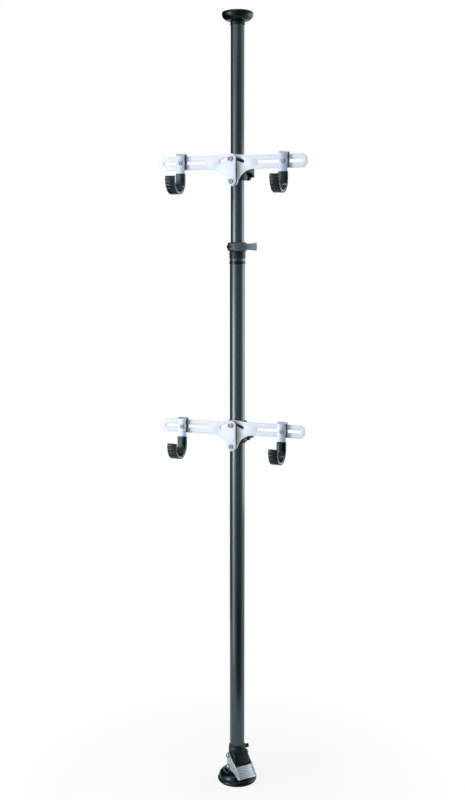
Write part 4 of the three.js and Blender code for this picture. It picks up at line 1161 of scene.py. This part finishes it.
class TOWER_OT_arms(bpy.types.Operator):
    """Models the slotted arms, their spacers and their bolts"""

    bl_idname = "tower.arms"
    bl_label = "Arms"

    def execute(self, context):
        sizes = context.scene.tower_arm
        gap = context.scene.tower_hook.gap
        outline = arm_outline(sizes)
        long_slot, curved_slot = arm_slots(sizes, gap)
        loops = [outline, long_slot, curved_slot, circle(0, 0, sizes.bolt_radius + gap)]
        model = upright_plate("arm_model", loops, 0, sizes.thickness, sizes.edge)
        twin = mirror_copy(model, "arm_model_left")
        for mount in MOUNTS:
            for word, shape in (("left", twin), ("right", model)):
                node = f"{mount}_arm_{word}"
                place = (0, low(node).y, MOUNT_HEIGHT[mount])
                dress(copy_of(shape, f"{node}_plate", place), "satin", node, node)
        discard(model, twin)
        self.spacers_and_bolts(sizes, gap)
        return {"FINISHED"}

    def spacers_and_bolts(self, sizes, gap):
        radius = high("upper_arm_spacer").x
        outline = [
            *arc(0, sizes.lock_lift, radius, 0, 2 * QUARTER, 20),
            *arc(0, 0, radius, 2 * QUARTER, 4 * QUARTER, 20),
        ]
        front, back = ends("upper_arm_spacer", "y")
        spacer = upright_plate("spacer_model", [outline], front, back - front, gap)
        face, nose = ends("upper_pivot_bolt", "y")
        head = sizes.head_radius, sizes.head_height
        button = bolt("bolt_model", sizes.bolt_radius, face - nose, *head)
        seat(button, turn=(QUARTER, 0, 0), place=(0, face, 0))
        kinds = (
            ("arm_spacer", "spacer", spacer, 0, "plastic"),
            ("pivot_bolt", "pivot_button", button, 0, "bolt"),
            ("lock_bolt", "lock_button", button, sizes.lock_lift, "bolt"),
        )
        for mount in MOUNTS:
            for node, name, model, lift, look in kinds:
                place = (0, 0, MOUNT_HEIGHT[mount] + lift)
                piece = copy_of(model, f"{mount}_{name}", place)
                dress(piece, look, f"{mount}_clamp", f"{mount}_{node}")
        discard(spacer, button)


class TOWER_OT_clamps(bpy.types.Operator):
    """Models the liners, clamps and clamp levers that hold the mounts on the poles"""

    bl_idname = "tower.clamps"
    bl_label = "Clamps"

    def execute(self, context):
        scene = context.scene
        gap = scene.tower_hook.gap
        clamp = scene.tower_clamp
        bolts = scene.tower_draw_bolt
        hinge = joint("upper_clamp_lever_hinge")["pos_m"]
        radius = clamp.bore / 2 + clamp.wall
        path = [(x * radius, y * radius) for x, y in CLAMP_LEVER_PATH]
        edge = [(y * radius, z * radius) for y, z in CLAMP_LEVER_EDGE]
        blade = lever_blade("clamp_blade", path, edge, clamp.lever, hinge, True, 4 * gap)
        lever = cam_lever(
            "clamp_lever_model", blade, clamp.cam_radius, clamp.ear_height, bolts, gap
        )
        drawn = draw_bolt("clamp_bolt_model", bolts, hinge[0] + clamp.ear_half + gap, gap)
        models = {
            "lever": (lever, "plastic"),
            "draw_bolt": (seat(drawn, turn=(0, 0, QUARTER)), "dark_bolt"),
            "lever_pin": (pin("clamp_pin_model", bolts, clamp.ear_height, gap), "dark_bolt"),
        }
        middle = hinge[2] - MOUNT_HEIGHT["upper"]
        casting = self.casting(clamp, bolts, scene.tower_arm, hinge[1], middle, gap)
        for mount in MOUNTS:
            self.liner(mount, scene.tower_pole, gap)
            body = f"{mount}_clamp"
            piece = copy_of(casting, f"{body}_casting", (0, 0, MOUNT_HEIGHT[mount]))
            dress(piece, "cast", body, body)
            for kind, (model, look) in models.items():
                node = f"{body}_{kind}"
                piece = copy_of(model, f"{node}_made", joint(f"{body}_lever_hinge")["pos_m"])
                dress(piece, look, node if kind == "lever" else body, node)
        discard(casting, *(model for model, _ in models.values()))
        return {"FINISHED"}

    def casting(self, clamp, bolts, arm, bolt_reach, middle, gap):
        bore = clamp.bore / 2
        outer = bore + clamp.wall
        bottom, top = clamp.lift, clamp.above
        profile = [(0, bottom), (outer, bottom), (outer, top), (0, top)]
        barrel = turned("clamp_model", round_corners(profile, 4 * gap, steps=3, closed=False))
        face_half, ear_half, tall = clamp.face_half, clamp.ear_half, clamp.ear_height / 2
        face_y, face_z = (-clamp.face_reach, 0), (-clamp.below, top)
        face = block("face", (-face_half, face_half), face_y, face_z, 6 * gap)
        outline = [(0, middle - tall), (clamp.ear_reach, middle - tall)]
        outline += [(clamp.ear_reach, middle + tall), (0, middle + tall)]
        outline = round_corners(outline, tall * EAR_ROUND, steps=10)
        fuse(barrel, face, side_plate("ears", [outline], -ear_half, 2 * ear_half, 4 * gap))
        low_z, high_z = -2 * clamp.below, 2 * top
        flange = bore + bpy.context.scene.tower_pole.flange + gap
        slit_x, slit_y = (-clamp.slit / 2, clamp.slit / 2), (0, 2 * clamp.ear_reach)
        cut(
            barrel,
            rod("bore", bore, low_z, high_z, gap, ROUND_STEPS),
            rod("flange_room", flange, low_z, bottom, gap / 4, ROUND_STEPS),
            block("slit", slit_x, slit_y, (low_z, high_z), gap),
        )
        hole, depth = arm.bolt_radius + gap, 2 * clamp.face_reach
        for lift in (0, arm.lock_lift):
            cut(barrel, rod_y("hole", hole, -depth, 0, 0, lift, gap / 4))
        hole, span = bolts.shank + gap, 2 * ear_half
        return cut(barrel, rod_x("draw_hole", hole, -span, span, bolt_reach, middle, gap / 4))

    def liner(self, mount, pole, gap):
        node = f"{mount}_liner"
        inner = high(f"{mount}_tube").x + gap
        flange = high(node).x
        barrel = flange - pole.flange
        profile = []
        for end, step in zip(ends(node), (pole.flange, -pole.flange)):
            rim = [(inner, end), (flange, end), (flange, end + step), (barrel, end + step)]
            profile += rim if step > 0 else rim[::-1]
        piece = turned(f"{node}_moulded", round_corners(profile, pole.end_round, steps=2))
        dress(piece, "plastic", f"{mount}_carriage", node)


# Pieces of a hook, from the middle of the arm's section
def hook_lines(hook, arm):
    """The strap's middle lines and heights that its outlines are offset from"""
    front = -(arm.thickness / 2 + hook.stand_off + hook.strap / 2)
    back = arm.thickness / 2 + hook.gap + hook.strap / 2
    top = arm.tip_radius + hook.rise - hook.strap / 2
    cradle_top = -arm.tip_radius - hook.drop
    radius = hook.depth / 2
    centre = cradle_top - hook.fall + hook.rubber + hook.strap / 2 + radius
    return front, back, top, cradle_top, radius, centre


def cradle_side(hook, arm, offset, lift=0.0):
    """The cradle's line at an offset outside the strap's middle, from the lip to the rear leg"""
    front, _, _, cradle_top, radius, centre = hook_lines(hook, arm)
    return [
        (front - hook.depth - offset, centre + hook.lip + lift),
        *arc(front - radius, centre, radius + offset, 2 * QUARTER, 4 * QUARTER, 28),
        (front + offset, cradle_top),
    ]


def strap_side(hook, arm, offset):
    """The same line over the whole strap, bent over the arm and down behind it"""
    front, back, top, _, _, _ = hook_lines(hook, arm)
    bend = hook.bend
    return [
        *cradle_side(hook, arm, offset)[:-1],
        *arc(front + bend, top - bend, bend - offset, 2 * QUARTER, QUARTER, 8),
        *arc(back - bend, top - bend, bend - offset, QUARTER, 0, 8),
        (back - offset, -hook.tail),
    ]


def ribbed_side(hook, arm, offset):
    """The outside of the rubber, with ribs from the lip down"""
    front, _, _, cradle_top, radius, centre = hook_lines(hook, arm)
    reach = radius + offset
    x = front - radius
    half = hook.rib_width / 2 / reach
    crown = half * RIB_CROWN
    points = [(front - hook.depth - offset, centre + hook.lip + offset)]
    lip = 2 * QUARTER
    for i in range(hook.rib_count):
        middle = lip + i * hook.rib_pitch / reach
        for turn, lift in ((-half, 0), (-crown, hook.rib), (crown, hook.rib), (half, 0)):
            out, at = reach + lift, middle + turn
            points.append((x + out * math.cos(at), centre + out * math.sin(at)))
    last = lip + (hook.rib_count - 1) * hook.rib_pitch / reach + half
    points += arc(x, centre, reach, last, 4 * QUARTER, 22)[1:]
    points.append((front + offset, cradle_top))
    return points


class TOWER_OT_hooks(bpy.types.Operator):
    """Models the steel straps of the hooks, their rubber, sliders and bolts"""

    bl_idname = "tower.hooks"
    bl_label = "Hooks"

    def execute(self, context):
        hook = context.scene.tower_hook
        arm = context.scene.tower_arm
        models = {
            "strap": (self.strap(hook, arm), "strap"),
            "rubber": (self.rubber(hook, arm), "rubber"),
            "slider": (self.slider(hook, arm), "plastic"),
            "bolt": (self.bolt(hook, arm), "bolt"),
        }
        for mount in MOUNTS:
            for word in SIDES:
                name = f"{mount}_hook_{word}"
                x = sum(ends(f"{name}_strap", "x")) / 2
                y = sum(ends(f"{mount}_arm_{word}", "y")) / 2
                z = MOUNT_HEIGHT[mount] + arm.bar_lift
                for kind, (model, look) in models.items():
                    piece = copy_of(model, f"{name}_{kind}_made", (x, y, z))
                    dress(piece, look, name, f"{name}_{kind}")
        discard(*(model for model, _ in models.values()))
        return {"FINISHED"}

    def strap(self, hook, arm):
        half = hook.strap / 2
        outline = strap_side(hook, arm, half) + strap_side(hook, arm, -half)[::-1]
        return side_plate("strap_model", [outline], -hook.width / 2, hook.width, hook.gap)

    def rubber(self, hook, arm):
        inside = hook.strap / 2 + hook.gap
        outside = inside + hook.rubber
        outer = ribbed_side(hook, arm, outside)[::-1]
        inner = cradle_side(hook, arm, -outside, outside)
        tip = [outer[-2], outer[-1], inner[0], inner[1]]
        crown = round_corners(tip, outside * LIP_ROUND, closed=False)[1:-1]
        room_in = cradle_side(hook, arm, -inside, inside)[::-1]
        room_out = cradle_side(hook, arm, inside, inside)
        outline = outer[:-1] + crown + inner[1:] + room_in + room_out
        half = hook.rubber_width / 2
        return side_plate("rubber_model", [outline], -half, 2 * half, hook.rubber / 4)

    def slider(self, hook, arm):
        half, slot = hook.width / 2, arm.slot_width / 2
        top = arm.tip_radius - 3 * hook.gap
        waist = half * SLIDER_WAIST
        outline = [(half, -top), (half, -slot), (waist, -slot)]
        outline += [(x, -z) for x, z in reversed(outline)]
        outline += [(-x, z) for x, z in reversed(outline)]
        front = -arm.thickness / 2 - hook.stand_off + hook.gap
        depth = hook.stand_off - 2 * hook.gap
        outline = round_corners(outline, hook.gap * 3, steps=3)
        return upright_plate("slider_model", [outline], front, depth, hook.gap)

    def bolt(self, hook, arm):
        face, nose = ends("upper_hook_right_bolt", "y")
        span = nose - face
        front, back, _, _, _, _ = hook_lines(hook, arm)
        head = arm.head_radius * HOOK_HEAD
        height = arm.head_height * HOOK_HEAD_HEIGHT
        start = front - hook.strap / 2 - hook.gap - height
        nut_start = start - (back + hook.strap / 2 + hook.gap)
        nut = (arm.head_radius, nut_start - arm.bolt_radius, nut_start)
        piece = bolt("hook_bolt_model", arm.bolt_radius * HOOK_SHANK, -span, head, height, nut)
        return seat(piece, turn=(QUARTER, 0, 0), place=(0, start, 0))


# Pieces of the foot, seen along the pedal's own direction before it is turned
class TOWER_OT_foot(bpy.types.Operator):
    """Models the rubber foot pad, its bracket and spigot and the two links"""

    bl_idname = "tower.foot"
    bl_label = "Foot"

    def execute(self, context):
        foot = context.scene.tower_foot
        gap = context.scene.tower_hook.gap
        self.pad(foot, gap)
        pivot = LINK_PIVOT - foot.link_length
        self.bracket(foot, pivot, gap)
        self.spigot(foot, gap)
        right = self.link(foot, pivot, gap)
        for word, piece in (("left", mirror_copy(right, "link_left")), ("right", right)):
            seat(piece, turn=FOOT_TURNED)
            dress(piece, "bracket", "foot_links", f"foot_link_{word}")
        return {"FINISHED"}

    def pad(self, foot, gap):
        radius, top = high("foot_pad").x, high("foot_pad").z
        rim = foot.pad_rim
        sole = radius - rim
        bead = arc(sole, rim, rim, -QUARTER, BEAD_TURN, 10)
        start_r, start_z = bead[-1]
        lip = foot.well + 3 * gap
        dome = [
            (lip + across * (start_r - lip), start_z + up * (top - start_z))
            for across, up in arc(0, 0, 1, 0, QUARTER, 16)
        ]
        grooves = []
        for share in SOLE_GROOVES:
            middle = sole * share
            for reach, rise in ((-4, 0), (-2, 4), (2, 4), (4, 0)):
                grooves.append((middle + reach * gap, rise * gap))
        well = [(foot.well, top), (foot.well, foot.well_floor), (0, foot.well_floor)]
        profile = [(0, 0), *grooves, *bead, *dome[1:], *well]
        dress(turned("floor_pad", profile), "rubber", "foot", "foot_pad")

    def bracket(self, foot, pivot, gap):
        base, top = ends("foot_bracket")
        radius, face = foot.well - foot.bracket / 2, base + foot.bracket
        disc = rod("bracket_pressing", radius, base, face, 3 * gap, ROUND_STEPS)
        half = foot.ear_half
        outline = [(-half, base), (half, base), *arc(0, top - half, half, 0, 2 * QUARTER, 20)]
        reach = foot.link_pin + foot.side_play + gap
        slot = [
            *arc(0, pivot, reach, 0, 2 * QUARTER, 10),
            *arc(0, pivot - foot.play, reach, 2 * QUARTER, 4 * QUARTER, 10),
        ]
        ear = side_plate("bracket_ear", [outline, slot], foot.ear_span, foot.ear, gap)
        fuse(disc, mirror_copy(ear, "bracket_ear_left"), ear)
        dress(seat(disc, turn=FOOT_TURNED), "bracket", "foot", "foot_bracket")

    def spigot(self, foot, gap):
        radius = high("foot_spigot").x
        bottom, top = ends("foot_spigot")
        taper = 4 * gap
        inner = radius - foot.spigot_wall
        profile = [(inner, bottom), (radius, bottom), (radius, top - taper)]
        profile += [(radius - taper, top), (inner, top)]
        piece = turned("spigot_tube", round_corners(profile, gap, steps=2))
        dress(piece, "bracket", "foot", "foot_spigot")

    def link(self, foot, pivot, gap):
        start = foot.ear_span + foot.ear + gap
        outline = [
            *arc(0, LINK_PIVOT, foot.link_eye, 0, 2 * QUARTER, 16),
            *arc(0, pivot, foot.link_eye, 2 * QUARTER, 4 * QUARTER, 16),
        ]
        loops = [outline, circle(0, LINK_PIVOT, foot.link_pin + gap)]
        piece = side_plate("link_right", loops, start, foot.link, gap)
        inner = foot.ear_span - gap
        stud = rod_x(
            "stud", foot.link_pin, inner - gap, start + foot.link / 2, 0, pivot, gap / 2
        )
        face = inner - foot.stud_head_height
        head = rod_x("stud_head", foot.stud_head, face, inner, 0, pivot, gap)
        return fuse(piece, stud, head)


class TOWER_OT_housing(bpy.types.Operator):
    """Models the cast housing at the pole's lower end and its thumb screw"""

    bl_idname = "tower.housing"
    bl_label = "Foot housing"

    def execute(self, context):
        foot = context.scene.tower_foot
        gap = context.scene.tower_hook.gap
        tube = high("lower_tube").x + gap
        radius = tube + foot.wall
        self.casting(foot, tube, radius, gap)
        self.screw(foot, context.scene.tower_draw_bolt, radius, gap)
        return {"FINISHED"}

    def casting(self, foot, tube, radius, gap):
        bottom, top = ends("foot_housing")
        bore = high("foot_spigot").x + gap
        profile = [
            (0, bottom),
            (bore + foot.boss_wall, bottom),
            (bore + foot.boss_wall, foot.shoulder),
            (radius, foot.shoulder),
            (radius, top - 2 * foot.rim_height),
            (tube + foot.rim_wall, top - foot.rim_height),
            (tube + foot.rim_wall, top),
            (0, top),
        ]
        piece = turned("housing_casting", round_corners(profile, 3 * gap, steps=3, closed=False))
        nose = [
            (0, foot.shoulder),
            (-foot.nose_reach, foot.shoulder),
            (-foot.nose_reach, foot.nose_edge),
            (-tube, foot.nose_top),
            (0, foot.nose_top),
        ]
        nose = round_corners(nose, foot.wall)
        half = foot.nose_half
        bearing = foot.ear_span + foot.ear + foot.link + gap
        pivot, screw = (0, HOUSING_PIVOT), (0, foot.screw_height)
        boss = radius + foot.screw_boss
        edge = 2 * gap
        fuse(
            piece,
            side_plate("nose", [nose], -half, 2 * half, foot.wall / 2),
            rod_x("bearings", foot.bearing, -bearing, bearing, *pivot, edge, ROUND_STEPS),
            rod_x("screw_boss", foot.screw_head, tube, boss, *screw, edge),
        )
        shelf = low("lower_tube").z - gap
        reach = 2 * radius
        cut(
            piece,
            rod("tube_socket", tube, shelf, 2 * top, gap / 4, ROUND_STEPS),
            rod("bore", bore, 0, top, gap / 4, ROUND_STEPS),
            rod_x("bolt_hole", foot.bolt + gap, -reach, reach, *pivot, gap / 4),
            rod_x("screw_hole", foot.link_pin + gap, 0, reach, *screw, gap / 4),
        )
        dress(seat(piece, turn=FOOT_TURNED), "cast", "pole_lower", "foot_housing")

    def screw(self, foot, bolts, radius, gap):
        start = radius + foot.screw_boss + gap
        rim = []
        for i in range(6 * THUMB_FLUTES):
            turn = 4 * QUARTER * i / (6 * THUMB_FLUTES)
            reach = foot.screw_head - gap * (1 + math.cos(THUMB_FLUTES * turn))
            rim.append((reach * math.cos(turn), reach * math.sin(turn)))
        field = (foot.screw_head / 4, gap)
        head = plate("thumb_screw", [rim], foot.screw_grip, 2 * gap, field)
        seat(head, turn=(0, QUARTER, 0), place=(start, 0, foot.screw_height))
        tube = high("lower_tube").x + gap
        end = start + gap * 4
        fuse(head, rod_x("shank", bolts.shank, tube, end, 0, foot.screw_height, gap))
        seat(head, turn=FOOT_TURNED)
        dress(head, "plastic", "pole_lower", "foot_housing_screw")


class TOWER_OT_pedal(bpy.types.Operator):
    """Models the pedal, with its sunk cheeks and ridged tread, and its bolts"""

    bl_idname = "tower.pedal"
    bl_label = "Pedal"

    def execute(self, context):
        foot = context.scene.tower_foot
        gap = context.scene.tower_hook.gap
        inner = foot.ear_span + foot.ear + foot.link + 2 * gap
        right = self.cheek(foot, inner, gap)
        left = mirror_copy(right, "cheek_left")
        piece = self.tread(foot, inner + foot.cheek / 2, gap)
        gather(piece, left, right)
        dress(seat(piece, turn=FOOT_TURNED), "pedal", "pedal", "foot_pedal")
        self.bolts(foot, inner, gap)
        return {"FINISHED"}

    def cheek(self, foot, inner, gap):
        pivot = HOUSING_PIVOT
        points = [
            *arc(0, pivot, foot.cheek_pivot, 0, CHEEK_SHOULDER, 16),
            (-foot.tread_top, pivot - foot.tread_top_drop),
            (-foot.tread_end, pivot - foot.tread_end_drop),
            (-foot.heel, pivot - foot.heel_drop),
            (-foot.belly, LINK_PIVOT - foot.cheek_link),
            *arc(0, LINK_PIVOT, foot.cheek_link, 3 * QUARTER, 4 * QUARTER, 10),
        ]
        holes = circle(0, pivot, foot.bolt + gap), circle(0, LINK_PIVOT, foot.link_pin + gap)
        piece = side_plate("cheek_right", [points, *holes], inner, foot.cheek, gap)
        start = inner + foot.cheek - foot.relief
        for field in CHEEK_FIELDS:
            outline = [(-reach * foot.heel, pivot - drop * foot.heel) for reach, drop in field]
            outline = round_corners(outline, 6 * gap, steps=4)
            cut(piece, side_plate("field", [outline], start, 2 * foot.relief, gap / 4))
        return piece

    def tread(self, foot, half, gap):
        run = foot.tread_end - foot.tread_top
        fall = foot.tread_end_drop - foot.tread_top_drop
        span = math.hypot(run, fall)
        along_y, along_z = -run / span, -fall / span

        def at(along, depth):
            y = -foot.tread_top + along * along_y - depth * along_z
            z = HOUSING_PIVOT - foot.tread_top_drop + along * along_z + depth * along_y
            return y, z

        top = foot.relief
        pitch = (span - foot.rails) / foot.ridges
        outline = [at(gap, top)]
        for i in range(foot.ridges):
            start = foot.rails / 2 + pitch * i
            for share, sunk in RIDGE_PROFILE:
                outline.append(at(start + pitch * share, top + sunk * foot.ridge))
        outline += [at(span - gap, top), at(span - gap, foot.tread), at(gap, foot.tread)]
        return side_plate("tread", [outline], -half, 2 * half, gap / 8)

    def bolts(self, foot, inner, gap):
        head = foot.bolt_head, foot.bolt_head_height
        head_end = inner + foot.cheek + gap + foot.bolt_head_height
        seat_reach = high("lower_tube").x + 2 * gap
        kinds = (
            ("pivot", foot.bolt, seat_reach, HOUSING_PIVOT, "pole_lower"),
            ("link", foot.link_pin, inner - gap - foot.link, LINK_PIVOT, "pedal"),
        )
        for kind, radius, inner_end, height, body in kinds:
            model = bolt(f"{kind}_bolt", radius, inner_end - head_end, *head)
            for word, side in SIDES.items():
                node = f"pedal_{kind}_bolt_{word}"
                piece = copy_of(model, f"{node}_made")
                seat(piece, turn=(0, side * QUARTER, 0), place=(side * head_end, 0, height))
                dress(seat(piece, turn=FOOT_TURNED), "bright_bolt", body, node)
            discard(model)


# Stage
WHITE = (1.0, 1.0, 1.0, 1.0)
# Each lamp's turn from the camera in degrees, distance, height, size, power and tint
LAMPS = (
    ("key_lamp", -60, 3.2, 1.25, (1.5, 1.9), 56.0, (0.93, 0.97, 1.0)),
    ("rim_lamp", 108, 2.6, 1.3, (2.0, 2.2), 36.0, (0.90, 0.95, 1.0)),
    ("upper_lamp", -60, 3.2, 2.75, (1.5, 1.0), 9.0, (0.95, 1.0, 1.0)),
    ("lower_lamp", -60, 0.5, 0.42, (0.24, 0.7), 0.9, (0.95, 1.0, 1.0)),
    ("top_lamp", -30, 1.2, 4.0, (0.9, 0.6), 34.0, (1.0, 1.0, 1.0)),
)
# Each flag's turn from the camera in degrees, distance, width, height and colour
FLAGS = (
    ("left_flag", -128, 1.1, 1.5, 2.9, "flag"),
    ("room_flag", 24, 0.95, 1.8, 2.9, "room"),
    ("foot_flag", 24, 0.3, 0.56, 0.42, "flag"),
)
FLAG_LIFT = 0.004
# Heights between which a flag grows brighter, and those between which it fades again
FLAG_RISE, FLAG_FALL, FLAG_FADE = (0.15, 1.1), (1.7, 2.5), 0.7
FLAG_FOOT = (0.14, 0.30, 0.22)
# The camera's white on the floor: its least share, and the distances over which it fills up
FLOOR_SHARE, FLOOR_SPREAD = 0.84, (0.15, 0.8)


def around(azimuth, distance, height):
    """A place round the pole, counted from the front"""
    return Vector((math.sin(azimuth) * distance, -math.cos(azimuth) * distance, height))


def strip_light(name, azimuth, distance, height, size, power, tint):
    """A tall soft lamp that looks at the pole"""
    place = around(azimuth, distance, height)
    data = bpy.data.lights.new(name, "AREA")
    data.shape = "RECTANGLE"
    data.size, data.size_y = size
    data.energy = power
    data.color = tint
    lamp = bpy.data.objects.new(name, data)
    lamp.location = place
    lamp.rotation_euler = (Vector((0, 0, height)) - place).to_track_quat("-Z", "Y").to_euler()
    lamp.visible_camera = False
    bpy.context.scene.collection.objects.link(lamp)


def white_for_the_camera(sky, fill):
    """A strength of 1 where the camera and reflections look, and the fill elsewhere"""
    rays = ("Is Camera Ray", "Is Glossy Ray", "Is Transmission Ray")
    camera, glossy, through = (sky.add("ShaderNodeLightPath", {}, {}, ray) for ray in rays)
    seen = sky.add("ShaderNodeMath", {"operation": "MAXIMUM"}, {0: camera, 1: glossy})
    seen = sky.add("ShaderNodeMath", {"operation": "MAXIMUM"}, {0: seen, 1: through})
    return sky.add("ShaderNodeMapRange", {}, {"Value": seen, "To Min": fill})


class TOWER_OT_stage(bpy.types.Operator):
    """Sets up the floor, the lamps, the flags, the surroundings and the camera"""

    bl_idname = "tower.stage"
    bl_label = "Stage"

    def execute(self, context):
        stage = context.scene.tower_stage
        self.floor(stage)
        self.surroundings(context.scene, stage)
        for name, turn, *rest in LAMPS:
            strip_light(name, stage.azimuth + math.radians(turn), *rest)
        for name, turn, distance, width, height, tone in FLAGS:
            azimuth = stage.azimuth + math.radians(turn)
            self.flag(name, azimuth, distance, width, height, tones(tone))
        self.camera(context.scene, stage)
        return {"FINISHED"}

    def floor(self, stage):
        """A pale floor that the camera sees white, but for the pole's soft shade"""
        deselect()
        bpy.ops.mesh.primitive_plane_add(size=stage.floor_size)
        floor = bpy.context.object
        floor.name = "floor"
        finish = Finish("pale_floor", tones("floor"), roughness=0.9)
        length_of = {"operation": "LENGTH"}
        distance = finish.add("ShaderNodeVectorMath", length_of, {0: finish.place()}, "Value")
        camera = finish.add("ShaderNodeLightPath", {}, {}, "Is Camera Ray")
        filled = distance.between(*FLOOR_SPREAD) * (1 - FLOOR_SHARE)
        glow = finish.add("ShaderNodeEmission", {}, {"Color": WHITE, "Strength": 1.0})
        surface = Signal(finish, finish.shader.outputs[0])
        share = (FLOOR_SHARE + filled) * camera
        mixed = finish.add("ShaderNodeMixShader", {}, {0: share, 1: surface, 2: glow})
        finish.feed(finish.tree.nodes["Material Output"].inputs["Surface"], mixed)
        floor.data.materials.append(finish.material)

    def flag(self, name, azimuth, distance, width, height, tone):
        """A card that only reflections see: a dark edge or a dim room on polished pieces"""
        deselect()
        bpy.ops.mesh.primitive_plane_add(size=1.0)
        card = bpy.context.object
        card.name = name
        seat(card, turn=(QUARTER, 0, 0))
        card.scale = (width, 1, height)
        place = around(azimuth, distance, height / 2 + FLAG_LIFT)
        seat(card, turn=(0, 0, azimuth), place=place)
        cloth = Finish(f"{name}_cloth", tone, roughness=1.0)
        lift = cloth.along("Z")
        share = lift.between(*FLAG_RISE) * (1.0 - lift.between(*FLAG_FALL) * FLAG_FADE)
        foot = tuple(c * share_left for c, share_left in zip(tone, FLAG_FOOT))
        cloth.set("Base Color", cloth.mix(share, foot, tone))
        card.data.materials.append(cloth.material)
        card.visible_camera = False
        card.visible_shadow = False
        card.visible_diffuse = False

    def surroundings(self, scene, stage):
        world = bpy.data.worlds.new("pale_surroundings")
        scene.world = world
        world.use_nodes = True
        sky = Tree(world.node_tree)
        background = sky.tree.nodes["Background"].inputs
        sky.feed(background["Color"], WHITE)
        sky.feed(background["Strength"], white_for_the_camera(sky, stage.fill))
        scene.view_settings.view_transform = "Standard"

    def camera(self, scene, stage):
        data = bpy.data.cameras.new("photo_camera")
        data.sensor_width = 36.0
        data.lens = stage.lens
        camera = bpy.data.objects.new("photo_camera", data)
        camera.location = around(stage.azimuth, stage.distance, stage.height)
        camera.rotation_euler = (QUARTER - stage.pitch, 0, stage.azimuth + stage.yaw)
        scene.collection.objects.link(camera)
        scene.camera = camera


OPERATORS = (
    TOWER_OT_tubes,
    TOWER_OT_bands,
    TOWER_OT_cap,
    TOWER_OT_collar,
    TOWER_OT_clamps,
    TOWER_OT_arms,
    TOWER_OT_hooks,
    TOWER_OT_foot,
    TOWER_OT_housing,
    TOWER_OT_pedal,
    TOWER_OT_stage,
)


class TOWER_PT_panel(bpy.types.Panel):
    """Lists the tower's operators"""

    bl_idname = "TOWER_PT_panel"
    bl_label = "Bike Storage Tower"
    bl_space_type = "VIEW_3D"
    bl_region_type = "UI"
    bl_category = "Tower"

    def draw(self, context):
        for operator in OPERATORS:
            self.layout.operator(operator.bl_idname)


def register():
    for group in GROUPS.values():
        bpy.utils.register_class(group)
    for operator in OPERATORS:
        bpy.utils.register_class(operator)
    bpy.utils.register_class(TOWER_PT_panel)
    for name, group in GROUPS.items():
        setattr(bpy.types.Scene, name, PointerProperty(type=group))


def unregister():
    for name in GROUPS:
        delattr(bpy.types.Scene, name)
    bpy.utils.unregister_class(TOWER_PT_panel)
    for operator in reversed(OPERATORS):
        bpy.utils.unregister_class(operator)
    for group in reversed(list(GROUPS.values())):
        bpy.utils.unregister_class(group)


def main():
    register()
    deselect()
    for operator in OPERATORS:
        group, name = operator.bl_idname.split(".")
        getattr(getattr(bpy.ops, group), name)()


if __name__ == "__main__":
    main()
